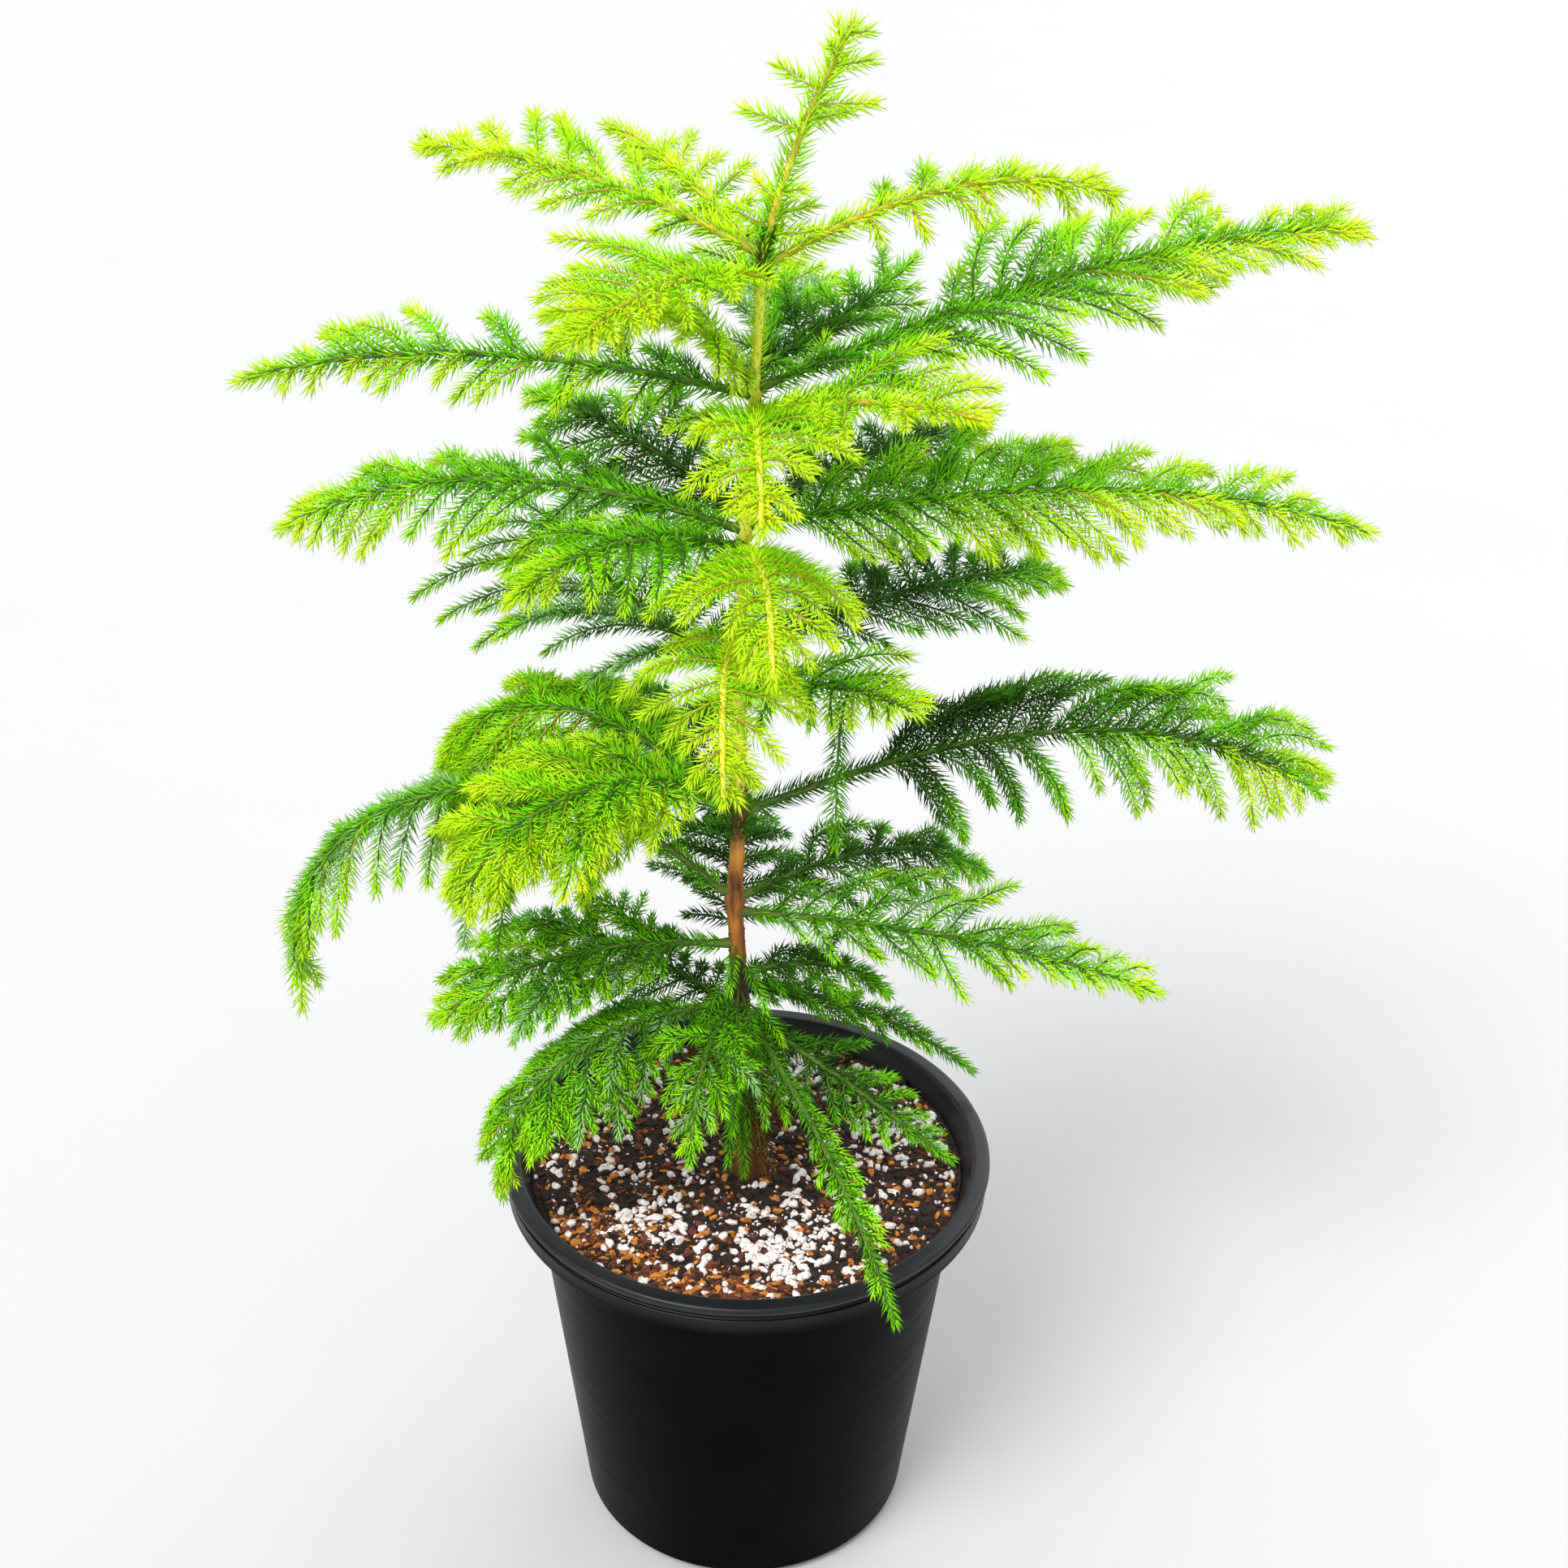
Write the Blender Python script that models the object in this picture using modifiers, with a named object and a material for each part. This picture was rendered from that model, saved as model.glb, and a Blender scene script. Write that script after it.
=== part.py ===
"""A young cook pine in its nursery pot: trunk, boughs, and fronds of toothed sprays.

Metres, +Z up. The origin is the middle of the pot's flat underside, +X is the plant's right
side seen from the front, and +Y points away from the front. Azimuths are degrees from +X
towards +Y, so 90 is the back of the plant, 180 its left and 270 its front.
"""
import math
import random
from collections import namedtuple

import bmesh
import bpy
import numpy as np
from mathutils import Matrix, Vector, noise

GAP = 0.0003
SEED = 7

# Pot
POT_SEGMENTS = 40
POT_HEIGHT = 0.144
POT_FOOT_RADIUS = 0.057
POT_BODY_TOP_RADIUS = 0.0723
POT_BODY_TOP = 0.133
POT_FOOT_ROUND = 0.003
POT_FLOOR = 0.003
POT_WALL = 0.0018
COLLAR_RADIUS = 0.0815
COLLAR_TOP = 0.1385
GROOVE_DEPTH = 0.001
LIP_RADIUS = 0.0825
LIP_INNER_RADIUS = 0.0765
LIP_BOTTOM = 0.140
LIP_ROUND = 0.0012
LEDGE_RADIUS = 0.0750
LEDGE_TOP = 0.1355

# Soil
SOIL_AT_TRUNK = 0.1325
SOIL_AT_WALL = 0.1345
SOIL_RINGS = (0.066, 0.054, 0.040, 0.026, 0.012)
SOIL_FLAT_RADIUS = 0.008
SOIL_BUMP = 0.0022
SOIL_BUMP_SIZE = 0.016
SOIL_BUMP_MARGIN = 0.001

# Trunk: how far its centre line leans to the right at each height, and its radius
TRUNK_LINE = (
    (0.1325, 0.0000),
    (0.1360, 0.0000),
    (0.1680, -0.0009),
    (0.2010, -0.0028),
    (0.2450, -0.0048),
    (0.2750, -0.0034),
    (0.3140, -0.0039),
    (0.3700, -0.0023),
    (0.4120, 0.0001),
    (0.4520, 0.0021),
    (0.4706, 0.0073),
    (0.4870, 0.0131),
)
TRUNK_FOOT_RADIUS = 0.0043
TRUNK_TIP_RADIUS = 0.0012
FLARE_RADIUS = 0.0022
FLARE_HEIGHT = 0.005

# Boughs and the stems of the foliage
BOUGH_RADIUS = 0.00125
BOUGH_TIP_RADIUS = 0.0008
COLLAR_LENGTH = 0.0015
ARC_STEP = 0.002
ARC_POWER = 1.5
BOUGH_KNOT_STEP = 0.014
STEM_KNOT_STEP = 0.021
KNOT_BEND = 20.0
TWIG_SIDES = 3
TWIG_FATNESS = 1.45
STEEP = 0.2

# Sprays: toothed blades that stand for a twig with its brush of needles
SPRAY_STEP = 0.0160
SPRAY_HALF_WIDTH = 0.0052
SPRAY_THICKNESS = 0.0010
SPRAY_FIRST = 0.003
SPRAY_FORWARD = (64.0, 42.0)
SPRAY_DROOP = 0.10
SPRAY_DROOP_PER_DEGREE = 0.0035
SPRAY_ROLL = (18.0, 58.0)
SPRAY_LIFT = (0.06, 0.22)
SPRAY_VARIES = (0.90, 1.08)
SPRAY_PLACE_VARIES = 0.2
SPRAY_NARROWEST = 0.7
SPRAY_FULL_WIDTH_LENGTH = 0.040
TIP_SPRAY_LENGTH = 0.017
TIP_SPRAY_ROOT = 0.003
SHORT_SPRAY = 0.018
SHORTER = (1.0, 0.78, 0.58)
LONGEST_AT = 0.3
LENGTH_AT_START = 0.55
LENGTH_AT_TIP = 0.30
SHORTENING_POWER = 1.3
SPACE_MARGIN = 0.0016
LIMB_CLEARANCE = 0.0014
POT_CLEARANCE = 0.0015
SPINE_SHARES = (0.2, 0.4, 0.6, 0.8)
GOLDEN_ANGLE = 137.5
FLAT_ANGLE = 0.5

# Outlines of a long and a short spray, as shares of the length and of the half width
LONG_BLADE = (
    (0.00, 0.10), (0.30, 1.00), (0.42, 0.45), (0.78, 0.85), (1.00, 0.00), (0.54, -1.00), (0.00, -0.10),
)
SHORT_BLADE = ((0.00, 0.10), (0.55, 1.00), (1.00, 0.00), (0.62, -1.00), (0.00, -0.10))

# One bough: the height and azimuth where it leaves the trunk, how far it swings sideways, its
# length from the trunk's centre line to the tip of its foliage, its rise at the trunk and how
# much of that it loses by the tip, the bare length before its foliage, the longest spray, and
# how light its needles are.
Bough = namedtuple("Bough", "name height azimuth swing length rise droop bare spray shade")

BOUGHS = (
    Bough("1_left", 0.202, 211, 0, 0.122, 18, 122, 0.014, 0.042, "mid"),
    Bough("1_rear_right", 0.206, 66, -95, 0.116, -31, -4, 0.000, 0.026, "dark"),
    Bough("1_front_right", 0.200, 298, 0, 0.121, -14, 37, 0.018, 0.030, "mid"),
    Bough("1_front", 0.204, 250, 0, 0.074, 12, 84, 0.000, 0.030, "mid"),
    Bough("1_right", 0.197, 336, 0, 0.086, -24, 6, 0.000, 0.028, "dark"),
    Bough("1_rear_left", 0.199, 137, 0, 0.104, 8, 64, 0.000, 0.038, "dark"),
    Bough("2_left", 0.226, 191, 0, 0.106, 9, 54, 0.014, 0.044, "mid"),
    Bough("2_right", 0.214, 18, 0, 0.062, 3, 66, 0.000, 0.028, "dark"),
    Bough("2_rear", 0.231, 92, 0, 0.104, 12, 58, 0.000, 0.040, "dark"),
    Bough("3_left", 0.246, 184, 0, 0.195, 46, 152, 0.048, 0.046, "mid"),
    Bough("3_right", 0.243, 32, 0, 0.112, 8, 56, 0.016, 0.042, "dark"),
    Bough("3_front_right", 0.238, 350, 0, 0.140, 1, 19, 0.018, 0.042, "mid"),
    Bough("4_left", 0.274, 163, 0, 0.118, 44, 106, 0.020, 0.052, "mid"),
    Bough("4_right", 0.275, 16, 0, 0.219, 15, 56, 0.044, 0.052, "dark"),
    Bough("4_front_left", 0.280, 212, 0, 0.114, 33, 104, 0.016, 0.048, "light"),
    Bough("4_rear", 0.270, 116, 0, 0.118, 14, 50, 0.000, 0.046, "dark"),
    Bough("5_left", 0.324, 126, 0, 0.114, -2, -24, 0.000, 0.062, "dark"),
    Bough("5_right", 0.330, 42, 0, 0.150, 2, 21, 0.022, 0.046, "dark"),
    Bough("5_front", 0.337, 262, 0, 0.094, 16, 62, 0.000, 0.038, "light"),
    Bough("5_front_right", 0.319, 318, 0, 0.074, 24, 32, 0.000, 0.034, "mid"),
    Bough("6_left", 0.370, 178, 0, 0.144, 18, 51, 0.020, 0.048, "mid"),
    Bough("6_right", 0.371, 10, 0, 0.202, 7, 29, 0.024, 0.050, "mid"),
    Bough("6_rear_right", 0.376, 50, 0, 0.124, 2, 14, 0.016, 0.042, "dark"),
    Bough("6_rear_left", 0.374, 134, 0, 0.104, 16, 24, 0.000, 0.044, "dark"),
    Bough("6_front_left", 0.365, 216, 0, 0.084, 22, 54, 0.000, 0.040, "mid"),
    Bough("6_front", 0.363, 280, 0, 0.090, 20, 58, 0.000, 0.040, "light"),
    Bough("7_left", 0.411, 176, 0, 0.153, 11, 30, 0.018, 0.045, "mid"),
    Bough("7_right", 0.413, 20, 0, 0.202, 17, 21, 0.020, 0.050, "mid"),
    Bough("7_rear", 0.409, 84, 0, 0.110, 8, 8, 0.014, 0.040, "dark"),
    Bough("7_rear_right", 0.419, 51, 0, 0.080, 6, -14, 0.000, 0.034, "dark"),
    Bough("7_front_right", 0.407, 322, 0, 0.082, 18, 20, 0.000, 0.040, "light"),
    Bough("7_front_left", 0.417, 206, 0, 0.074, 52, 100, 0.000, 0.036, "light"),
    Bough("7_front", 0.404, 272, 0, 0.082, 18, 56, 0.000, 0.036, "light"),
    Bough("8_left", 0.452, 166, -8, 0.108, 23, 31, 0.012, 0.042, "light"),
    Bough("8_right", 0.449, 8, 0, 0.106, 28, 48, 0.020, 0.028, "light"),
    Bough("8_front_left", 0.446, 228, 0, 0.078, 12, 42, 0.000, 0.036, "light"),
)

# The weeping bough, whose foliage is parted where it turns down
WEEPING_BOUGH = "3_left"
WEEPING_PART = 0.63
HANGING = "_hanging"

# The leading shoot above the trunk
LEADER_LENGTH = 0.0310
LEADER_RISE = 65.0
LEADER_SPRAYS = 6
LEADER_SPRAY = (0.021, 0.010)

COLOURS = {
    "pot": ((0.010, 0.011, 0.013), 0.38),
    "soil": ((0.060, 0.028, 0.016), 0.95),
    "bark": ((0.260, 0.120, 0.030), 0.80),
    "light": ((0.340, 0.560, 0.030), 0.60),
    "mid": ((0.100, 0.330, 0.030), 0.60),
    "dark": ((0.030, 0.130, 0.030), 0.60),
}

# A mass of foliage: the line its stem follows from the trunk, the shares of that line where the
# bough's foliage begins and where this mass starts and ends, and the rule for its sprays.
Mass = namedtuple("Mass", "name line leafy start end spray droop shade radial")


def clear_scene():
    for old in list(bpy.data.objects):
        bpy.data.objects.remove(old, do_unlink=True)


def new_collection(name):
    collection = bpy.data.collections.new(name)
    bpy.context.scene.collection.children.link(collection)
    return collection


def make_materials():
    materials = {}
    for name, (colour, roughness) in COLOURS.items():
        material = bpy.data.materials.new(name)
        material.use_nodes = True
        shader = material.node_tree.nodes["Principled BSDF"]
        shader.inputs["Base Color"].default_value = (*colour, 1.0)
        shader.inputs["Roughness"].default_value = roughness
        materials[name] = material
    return materials


def add_object(name, mesh, collection, material):
    piece = bpy.data.objects.new(name, mesh)
    collection.objects.link(piece)
    mesh.materials.clear()
    mesh.materials.append(material)
    return piece


def weld(mesh):
    """Join the loose caps of a mesh made from a curve, with every face pointing out."""
    shape = bmesh.new()
    shape.from_mesh(mesh)
    bmesh.ops.remove_doubles(shape, verts=shape.verts, dist=1e-6)
    bmesh.ops.recalc_face_normals(shape, faces=shape.faces)
    shape.to_mesh(mesh)
    shape.free()


def evaluated_mesh(piece):
    """The mesh of an object as its modifiers or bevel leave it; the object is removed."""
    if not piece.users_collection:
        bpy.context.scene.collection.objects.link(piece)
    graph = bpy.context.evaluated_depsgraph_get()
    mesh = bpy.data.meshes.new_from_object(piece.evaluated_get(graph))
    bpy.data.objects.remove(piece, do_unlink=True)
    return mesh


def turned_mesh(name, profile):
    """Turn a profile of (radius, height) points, which runs down the outer side, about Z."""
    mesh = bpy.data.meshes.new(name)
    points = [(radius, 0.0, height) for radius, height in profile]
    mesh.from_pydata(points, [(i, i + 1) for i in range(len(points) - 1)], [])
    piece = bpy.data.objects.new(name, mesh)
    screw = piece.modifiers.new("turn", "SCREW")
    screw.axis = "Z"
    screw.steps = POT_SEGMENTS
    screw.render_steps = POT_SEGMENTS
    screw.use_merge_vertices = True
    screw.merge_threshold = 1e-5
    turned = evaluated_mesh(piece)
    weld(turned)
    return turned


def body_radius(height):
    """The pot's outer radius below its collar."""
    share = height / POT_BODY_TOP
    return POT_FOOT_RADIUS + (POT_BODY_TOP_RADIUS - POT_FOOT_RADIUS) * share


def inner_wall():
    """The pot's inner side from the floor's edge up to below the lip."""
    return [
        (body_radius(POT_FLOOR) - POT_WALL, POT_FLOOR),
        (POT_BODY_TOP_RADIUS - POT_WALL, POT_BODY_TOP - POT_WALL),
        (LEDGE_RADIUS, LEDGE_TOP),
    ]


def make_pot(collection, material):
    groove = COLLAR_RADIUS - GROOVE_DEPTH
    profile = [
        (0.0, POT_FLOOR),
        *inner_wall(),
        (LIP_INNER_RADIUS, POT_HEIGHT - LIP_ROUND),
        (LIP_INNER_RADIUS + LIP_ROUND, POT_HEIGHT),
        (LIP_RADIUS - LIP_ROUND, POT_HEIGHT),
        (LIP_RADIUS, POT_HEIGHT - LIP_ROUND),
        (LIP_RADIUS, LIP_BOTTOM),
        (groove, LIP_BOTTOM),
        (groove, COLLAR_TOP),
        (COLLAR_RADIUS, COLLAR_TOP),
        (COLLAR_RADIUS, POT_BODY_TOP),
        (POT_BODY_TOP_RADIUS, POT_BODY_TOP),
        (body_radius(POT_FOOT_ROUND), POT_FOOT_ROUND),
        (POT_FOOT_RADIUS - POT_FOOT_ROUND, 0.0),
        (0.0, 0.0),
    ]
    mesh = turned_mesh("pot", profile)
    pot = add_object("pot", mesh, collection, material)
    mesh.shade_smooth()
    mesh.set_sharp_from_angle(angle=math.radians(30))
    return pot


def make_soil(collection, material):
    """The filling of the pot, a gap clear of its walls, with an uneven top."""
    low, shoulder, ledge = [(radius - GAP, height) for radius, height in inner_wall()]
    level = low[1] + GAP
    share = (SOIL_AT_WALL - shoulder[1]) / (ledge[1] - shoulder[1])
    edge = (shoulder[0] + (ledge[0] - shoulder[0]) * share, SOIL_AT_WALL)
    rings = []
    for radius in SOIL_RINGS:
        height = SOIL_AT_TRUNK + (SOIL_AT_WALL - SOIL_AT_TRUNK) * radius / edge[0]
        rings.append((radius, height))
    flat = [(0.0, SOIL_AT_TRUNK - GAP), (SOIL_FLAT_RADIUS, SOIL_AT_TRUNK - GAP)]
    profile = flat + rings[::-1] + [edge, shoulder, (low[0], level), (0.0, level)]
    mesh = turned_mesh("soil", profile)
    innermost = SOIL_FLAT_RADIUS + SOIL_BUMP_MARGIN
    outermost = SOIL_RINGS[0] + SOIL_BUMP_MARGIN
    for vertex in mesh.vertices:
        place = vertex.co
        across = math.hypot(place.x, place.y)
        if place.z > level and innermost < across < outermost:
            place.z += SOIL_BUMP * noise.noise(place / SOIL_BUMP_SIZE)
    return add_object("soil", mesh, collection, material)


def trunk_point(height):
    heights = [h for h, lean in TRUNK_LINE]
    leans = [lean for h, lean in TRUNK_LINE]
    return Vector((float(np.interp(height, heights, leans)), 0.0, height))


def trunk_radius(height):
    foot = TRUNK_LINE[0][0]
    share = (height - foot) / (TRUNK_LINE[-1][0] - foot)
    flare = FLARE_RADIUS * math.exp(-(height - foot) / FLARE_HEIGHT)
    return TRUNK_FOOT_RADIUS + (TRUNK_TIP_RADIUS - TRUNK_FOOT_RADIUS) * share + flare


def tube(name, points, radii, resolution=1, section=None):
    """A closed, tapering limb along points. section, if given, is its cross-section."""
    curve = bpy.data.curves.new(name, "CURVE")
    curve.dimensions = "3D"
    curve.use_fill_caps = True
    depth = 0.001
    if section:
        curve.bevel_mode = "OBJECT"
        curve.bevel_object = section
    else:
        curve.bevel_depth = depth
        curve.bevel_resolution = resolution
    spline = curve.splines.new("POLY")
    spline.points.add(len(points) - 1)
    for knot, point, radius in zip(spline.points, points, radii):
        knot.co = (*point, 1.0)
        knot.radius = radius / depth
    mesh = evaluated_mesh(bpy.data.objects.new(name, curve))
    weld(mesh)
    return mesh


def flat_outline(name, points, thickness=0.0):
    """A closed flat outline in the XY plane; with a thickness it is a filled plate."""
    curve = bpy.data.curves.new(name, "CURVE")
    curve.dimensions = "2D"
    curve.fill_mode = "BOTH" if thickness else "NONE"
    curve.extrude = thickness / 2
    spline = curve.splines.new("POLY")
    spline.points.add(len(points) - 1)
    for knot, (x, y) in zip(spline.points, points):
        knot.co = (x, y, 0.0, 1.0)
    spline.use_cyclic_u = True
    return bpy.data.objects.new(name, curve)


def twig_section():
    """The three-sided cross-section of a twig, one millimetre in radius."""
    turn = math.tau / TWIG_SIDES
    corners = [(0.001 * math.cos(i * turn), 0.001 * math.sin(i * turn)) for i in range(TWIG_SIDES)]
    section = flat_outline("twig_section", corners)
    section.hide_render = True
    section.display_type = "WIRE"
    bpy.context.scene.collection.objects.link(section)
    return section


def blade_mesh(outline):
    """A blade whose length, half width and thickness are all one, with its root at the origin."""
    mesh = evaluated_mesh(flat_outline("blade", outline, 1.0))
    weld(mesh)
    return mesh


def sideways(heading):
    """The level direction to the right of a heading; a steep heading takes +Y."""
    flat = Vector((heading.y, -heading.x, 0.0))
    return flat.normalized() if flat.length > STEEP else Vector((0.0, 1.0, 0.0))


def arc(start, azimuth, swing, length, rise, droop):
    """Points every ARC_STEP or so along a limb that sets out from start and bends over."""
    steps = max(4, round(length / ARC_STEP))
    points = [Vector(start)]
    for step in range(steps):
        share = (step + 0.5) / steps
        turn = math.radians(azimuth + swing * share)
        slope = math.radians(rise - droop * share ** ARC_POWER)
        flat = math.cos(slope)
        heading = Vector((flat * math.cos(turn), flat * math.sin(turn), math.sin(slope)))
        points.append(points[-1] + heading * (length / steps))
    return points


def bough_line(bough):
    """The bough's centre line from its collar on the trunk to the tip of its foliage."""
    out = Vector((math.cos(math.radians(bough.azimuth)), math.sin(math.radians(bough.azimuth)), 0))
    start = trunk_point(bough.height) + out * (trunk_radius(bough.height) + GAP)
    bend = start + out * COLLAR_LENGTH
    length = bough.length - trunk_radius(bough.height) - GAP - COLLAR_LENGTH
    rest = arc(bend, bough.azimuth, bough.swing, length, bough.rise, bough.droop)
    return [start] + rest


def point_at(line, share):
    place = share * (len(line) - 1)
    index = min(int(place), len(line) - 2)
    return line[index].lerp(line[index + 1], place - index)


def tangent_at(line, share):
    index = min(int(share * (len(line) - 1)), len(line) - 2)
    return (line[index + 1] - line[index]).normalized()


def knot_shares(line, start, end, step):
    """Shares of the line for a limb's knots, closer together where it bends more."""
    length = (end - start) * (len(line) - 1) * ARC_STEP
    first = start + 1 / (len(line) - 1)
    bend = math.degrees(tangent_at(line, first).angle(tangent_at(line, end)))
    pieces = max(2, round(length / step), math.ceil(bend / KNOT_BEND))
    shares = [start + (end - start) * i / pieces for i in range(pieces + 1)]
    if start == 0.0:
        shares.insert(1, 1 / (len(line) - 1))
    return shares


def limb_radius(share):
    return BOUGH_RADIUS + (BOUGH_TIP_RADIUS - BOUGH_RADIUS) * share


def gap_shares(line):
    """The share of a line that is one gap long."""
    return GAP / (ARC_STEP * (len(line) - 1))


def make_bough(bough, collection, material):
    line = bough_line(bough)
    shares = knot_shares(line, 0.0, bough.bare / bough.length, BOUGH_KNOT_STEP)
    points = [point_at(line, share) for share in shares]
    mesh = tube("bough_" + bough.name, points, [limb_radius(share) for share in shares])
    return add_object("bough_" + bough.name, mesh, collection, material)


def spray_length(longest, share):
    """Sprays grow to their longest a third of the way out, and shorten towards the tip."""
    grown = LENGTH_AT_START + (1.0 - LENGTH_AT_START) * min(1.0, share / LONGEST_AT)
    young = max(0.0, (share - LONGEST_AT) / (1.0 - LONGEST_AT))
    return longest * grown * (1.0 - (1.0 - LENGTH_AT_TIP) * young ** SHORTENING_POWER)


def line_size(mass):
    return (len(mass.line) - 1) * ARC_STEP


def stem_knots(mass):
    """Shares and points of a mass's stem, up to just inside the spray at its tip."""
    shares = knot_shares(mass.line, mass.start, mass.end, STEM_KNOT_STEP)
    last = mass.end - (TIP_SPRAY_LENGTH - TIP_SPRAY_ROOT) / line_size(mass)
    shares = [share for share in shares if share < last - TIP_SPRAY_ROOT / line_size(mass)]
    shares.append(last)
    return shares, [point_at(mass.line, share) for share in shares]


def point_on_stem(knots, share):
    """The point of a stem at a share of its line; between knots the stem runs straight."""
    shares, points = knots
    index = max(i for i in range(len(shares) - 1) if i == 0 or shares[i] <= share)
    place = (share - shares[index]) / (shares[index + 1] - shares[index])
    return points[index].lerp(points[index + 1], place)


def spray_frames(mass, knots):
    """Root, direction, normal and length of each spray of a mass, root to tip."""
    rng = random.Random(SEED * 1000 + sum(ord(letter) for letter in mass.name))
    size = line_size(mass)
    first = mass.start + SPRAY_FIRST / size
    last = mass.end - TIP_SPRAY_LENGTH / size
    count = LEADER_SPRAYS if mass.radial else max(3, round((last - first) * size / SPRAY_STEP * 2))
    for index in range(count):
        share = first + (last - first) * (index + SPRAY_PLACE_VARIES * rng.random()) / count
        grown = (share - mass.leafy) / (1.0 - mass.leafy)
        root = point_on_stem(knots, share)
        forward = tangent_at(mass.line, share)
        side = sideways(forward)
        if mass.radial:
            side = Matrix.Rotation(math.radians(GOLDEN_ANGLE * index), 3, forward) @ side
            length = LEADER_SPRAY[0] + (LEADER_SPRAY[1] - LEADER_SPRAY[0]) * grown
        else:
            side = side if index % 2 else -side
            length = spray_length(mass.spray, grown) * rng.uniform(*SPRAY_VARIES)
        upper = forward.cross(side).normalized()
        if upper.z < 0:
            upper.negate()
        angle = math.radians(SPRAY_FORWARD[0] + (SPRAY_FORWARD[1] - SPRAY_FORWARD[0]) * grown)
        heading = forward * math.cos(angle) + side * math.sin(angle)
        heading += upper * rng.uniform(*SPRAY_LIFT)
        heading.z -= SPRAY_DROOP + SPRAY_DROOP_PER_DEGREE * mass.droop
        heading.normalize()
        normal = upper - heading * upper.dot(heading)
        roll = math.radians(rng.uniform(*SPRAY_ROLL)) * rng.choice((-1, 1))
        normal = Matrix.Rotation(roll, 3, heading) @ normal.normalized()
        yield root, heading, normal, length


def blade_matrix(root, heading, normal, length):
    grown = min(1.0, length / SPRAY_FULL_WIDTH_LENGTH)
    half_width = SPRAY_HALF_WIDTH * (SPRAY_NARROWEST + (1.0 - SPRAY_NARROWEST) * grown)
    across = normal.cross(heading)
    matrix = Matrix((heading * length, across * half_width, normal * SPRAY_THICKNESS))
    matrix = matrix.transposed().to_4x4()
    matrix.translation = root
    return matrix


def clear_of_pot(points):
    """True where every point is outside the pot and above the soil."""
    for x, y, z in points:
        across = math.hypot(x, y)
        inside = across < LIP_INNER_RADIUS - POT_CLEARANCE
        if inside and z < SOIL_AT_WALL + SOIL_BUMP + POT_CLEARANCE:
            return False
        if not inside and across < LIP_RADIUS + POT_CLEARANCE and z < POT_HEIGHT + POT_CLEARANCE:
            return False
    return True


def clear_of_trunk(point):
    height = min(point[2], TRUNK_LINE[-1][0])
    return (Vector(point) - trunk_point(height)).length > trunk_radius(height) + LIMB_CLEARANCE


def keeps_its_space(points, own, lines):
    """True where all the points lie nearer to the mass's own stem than to any other."""
    nearest = []
    for line in lines:
        apart = points[:, None, :] - line[None, :, :]
        nearest.append(np.sqrt((apart ** 2).sum(axis=2)).min(axis=1))
    nearest = np.array(nearest)
    mine = nearest[own]
    others = np.delete(nearest, own, axis=0).min(axis=0)
    return all(map(clear_of_trunk, points)) and bool((mine + SPACE_MARGIN < others).all())


def sprays(mass, knots, own, lines, blades):
    """The blades of a mass; one that would leave its space is shortened or left out."""
    for root, heading, normal, length in spray_frames(mass, knots):
        for shorter in SHORTER:
            size = length * shorter
            blade = blades["short" if size < SHORT_SPRAY else "long"]
            matrix = blade_matrix(root, heading, normal, size)
            corners = [matrix @ vertex.co for vertex in blade.vertices if vertex.co.x > 0.0]
            spine = [matrix @ Vector((share, 0.0, 0.0)) for share in SPINE_SHARES]
            points = np.array([tuple(point) for point in corners + spine])
            if clear_of_pot(points) and keeps_its_space(points, own, lines):
                spray = blade.copy()
                spray.transform(matrix)
                yield spray
                break


def simplify(mesh):
    """Take out the edges and points that lie flat in a face."""
    shape = bmesh.new()
    shape.from_mesh(mesh)
    flat = math.radians(FLAT_ANGLE)
    bmesh.ops.dissolve_limit(shape, angle_limit=flat, verts=shape.verts, edges=shape.edges)
    shape.to_mesh(mesh)
    shape.free()


def fuse(name, core, parts):
    """Join the parts to the core with one Boolean union, and remove them."""
    group = new_collection(name + "_parts")
    for number, mesh in enumerate(parts):
        group.objects.link(bpy.data.objects.new(f"{name}_part_{number}", mesh))
    body = bpy.data.objects.new(name + "_core", core)
    bpy.context.scene.collection.objects.link(body)
    union = body.modifiers.new("union", "BOOLEAN")
    union.operation = "UNION"
    union.operand_type = "COLLECTION"
    union.collection = group
    union.solver = "MANIFOLD"
    mesh = evaluated_mesh(body)
    for part in list(group.objects):
        bpy.data.objects.remove(part, do_unlink=True)
    bpy.data.collections.remove(group)
    return mesh


def tip_spray(mass, knots, blades):
    """The spray that ends the stem and reaches the tip of the mass."""
    root = knots[1][-1] - tangent_at(mass.line, knots[0][-1]) * TIP_SPRAY_ROOT
    heading = tangent_at(mass.line, mass.end)
    if mass.end == 1.0:
        heading = (mass.line[-1] - root).normalized()
    normal = sideways(heading).cross(heading)
    spray = blades["long"].copy()
    spray.transform(blade_matrix(root, heading, normal, TIP_SPRAY_LENGTH))
    return spray


def make_mass(mass, own, lines, blades, section, collection, material):
    name = "foliage_" + mass.name
    knots = stem_knots(mass)
    radii = [limb_radius(share) * TWIG_FATNESS for share in knots[0]]
    core = tube(name, knots[1], radii, section=section)
    parts = list(sprays(mass, knots, own, lines, blades))
    parts.append(tip_spray(mass, knots, blades))
    mesh = fuse(name, core, parts)
    simplify(mesh)
    return add_object(name, mesh, collection, material)


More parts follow.
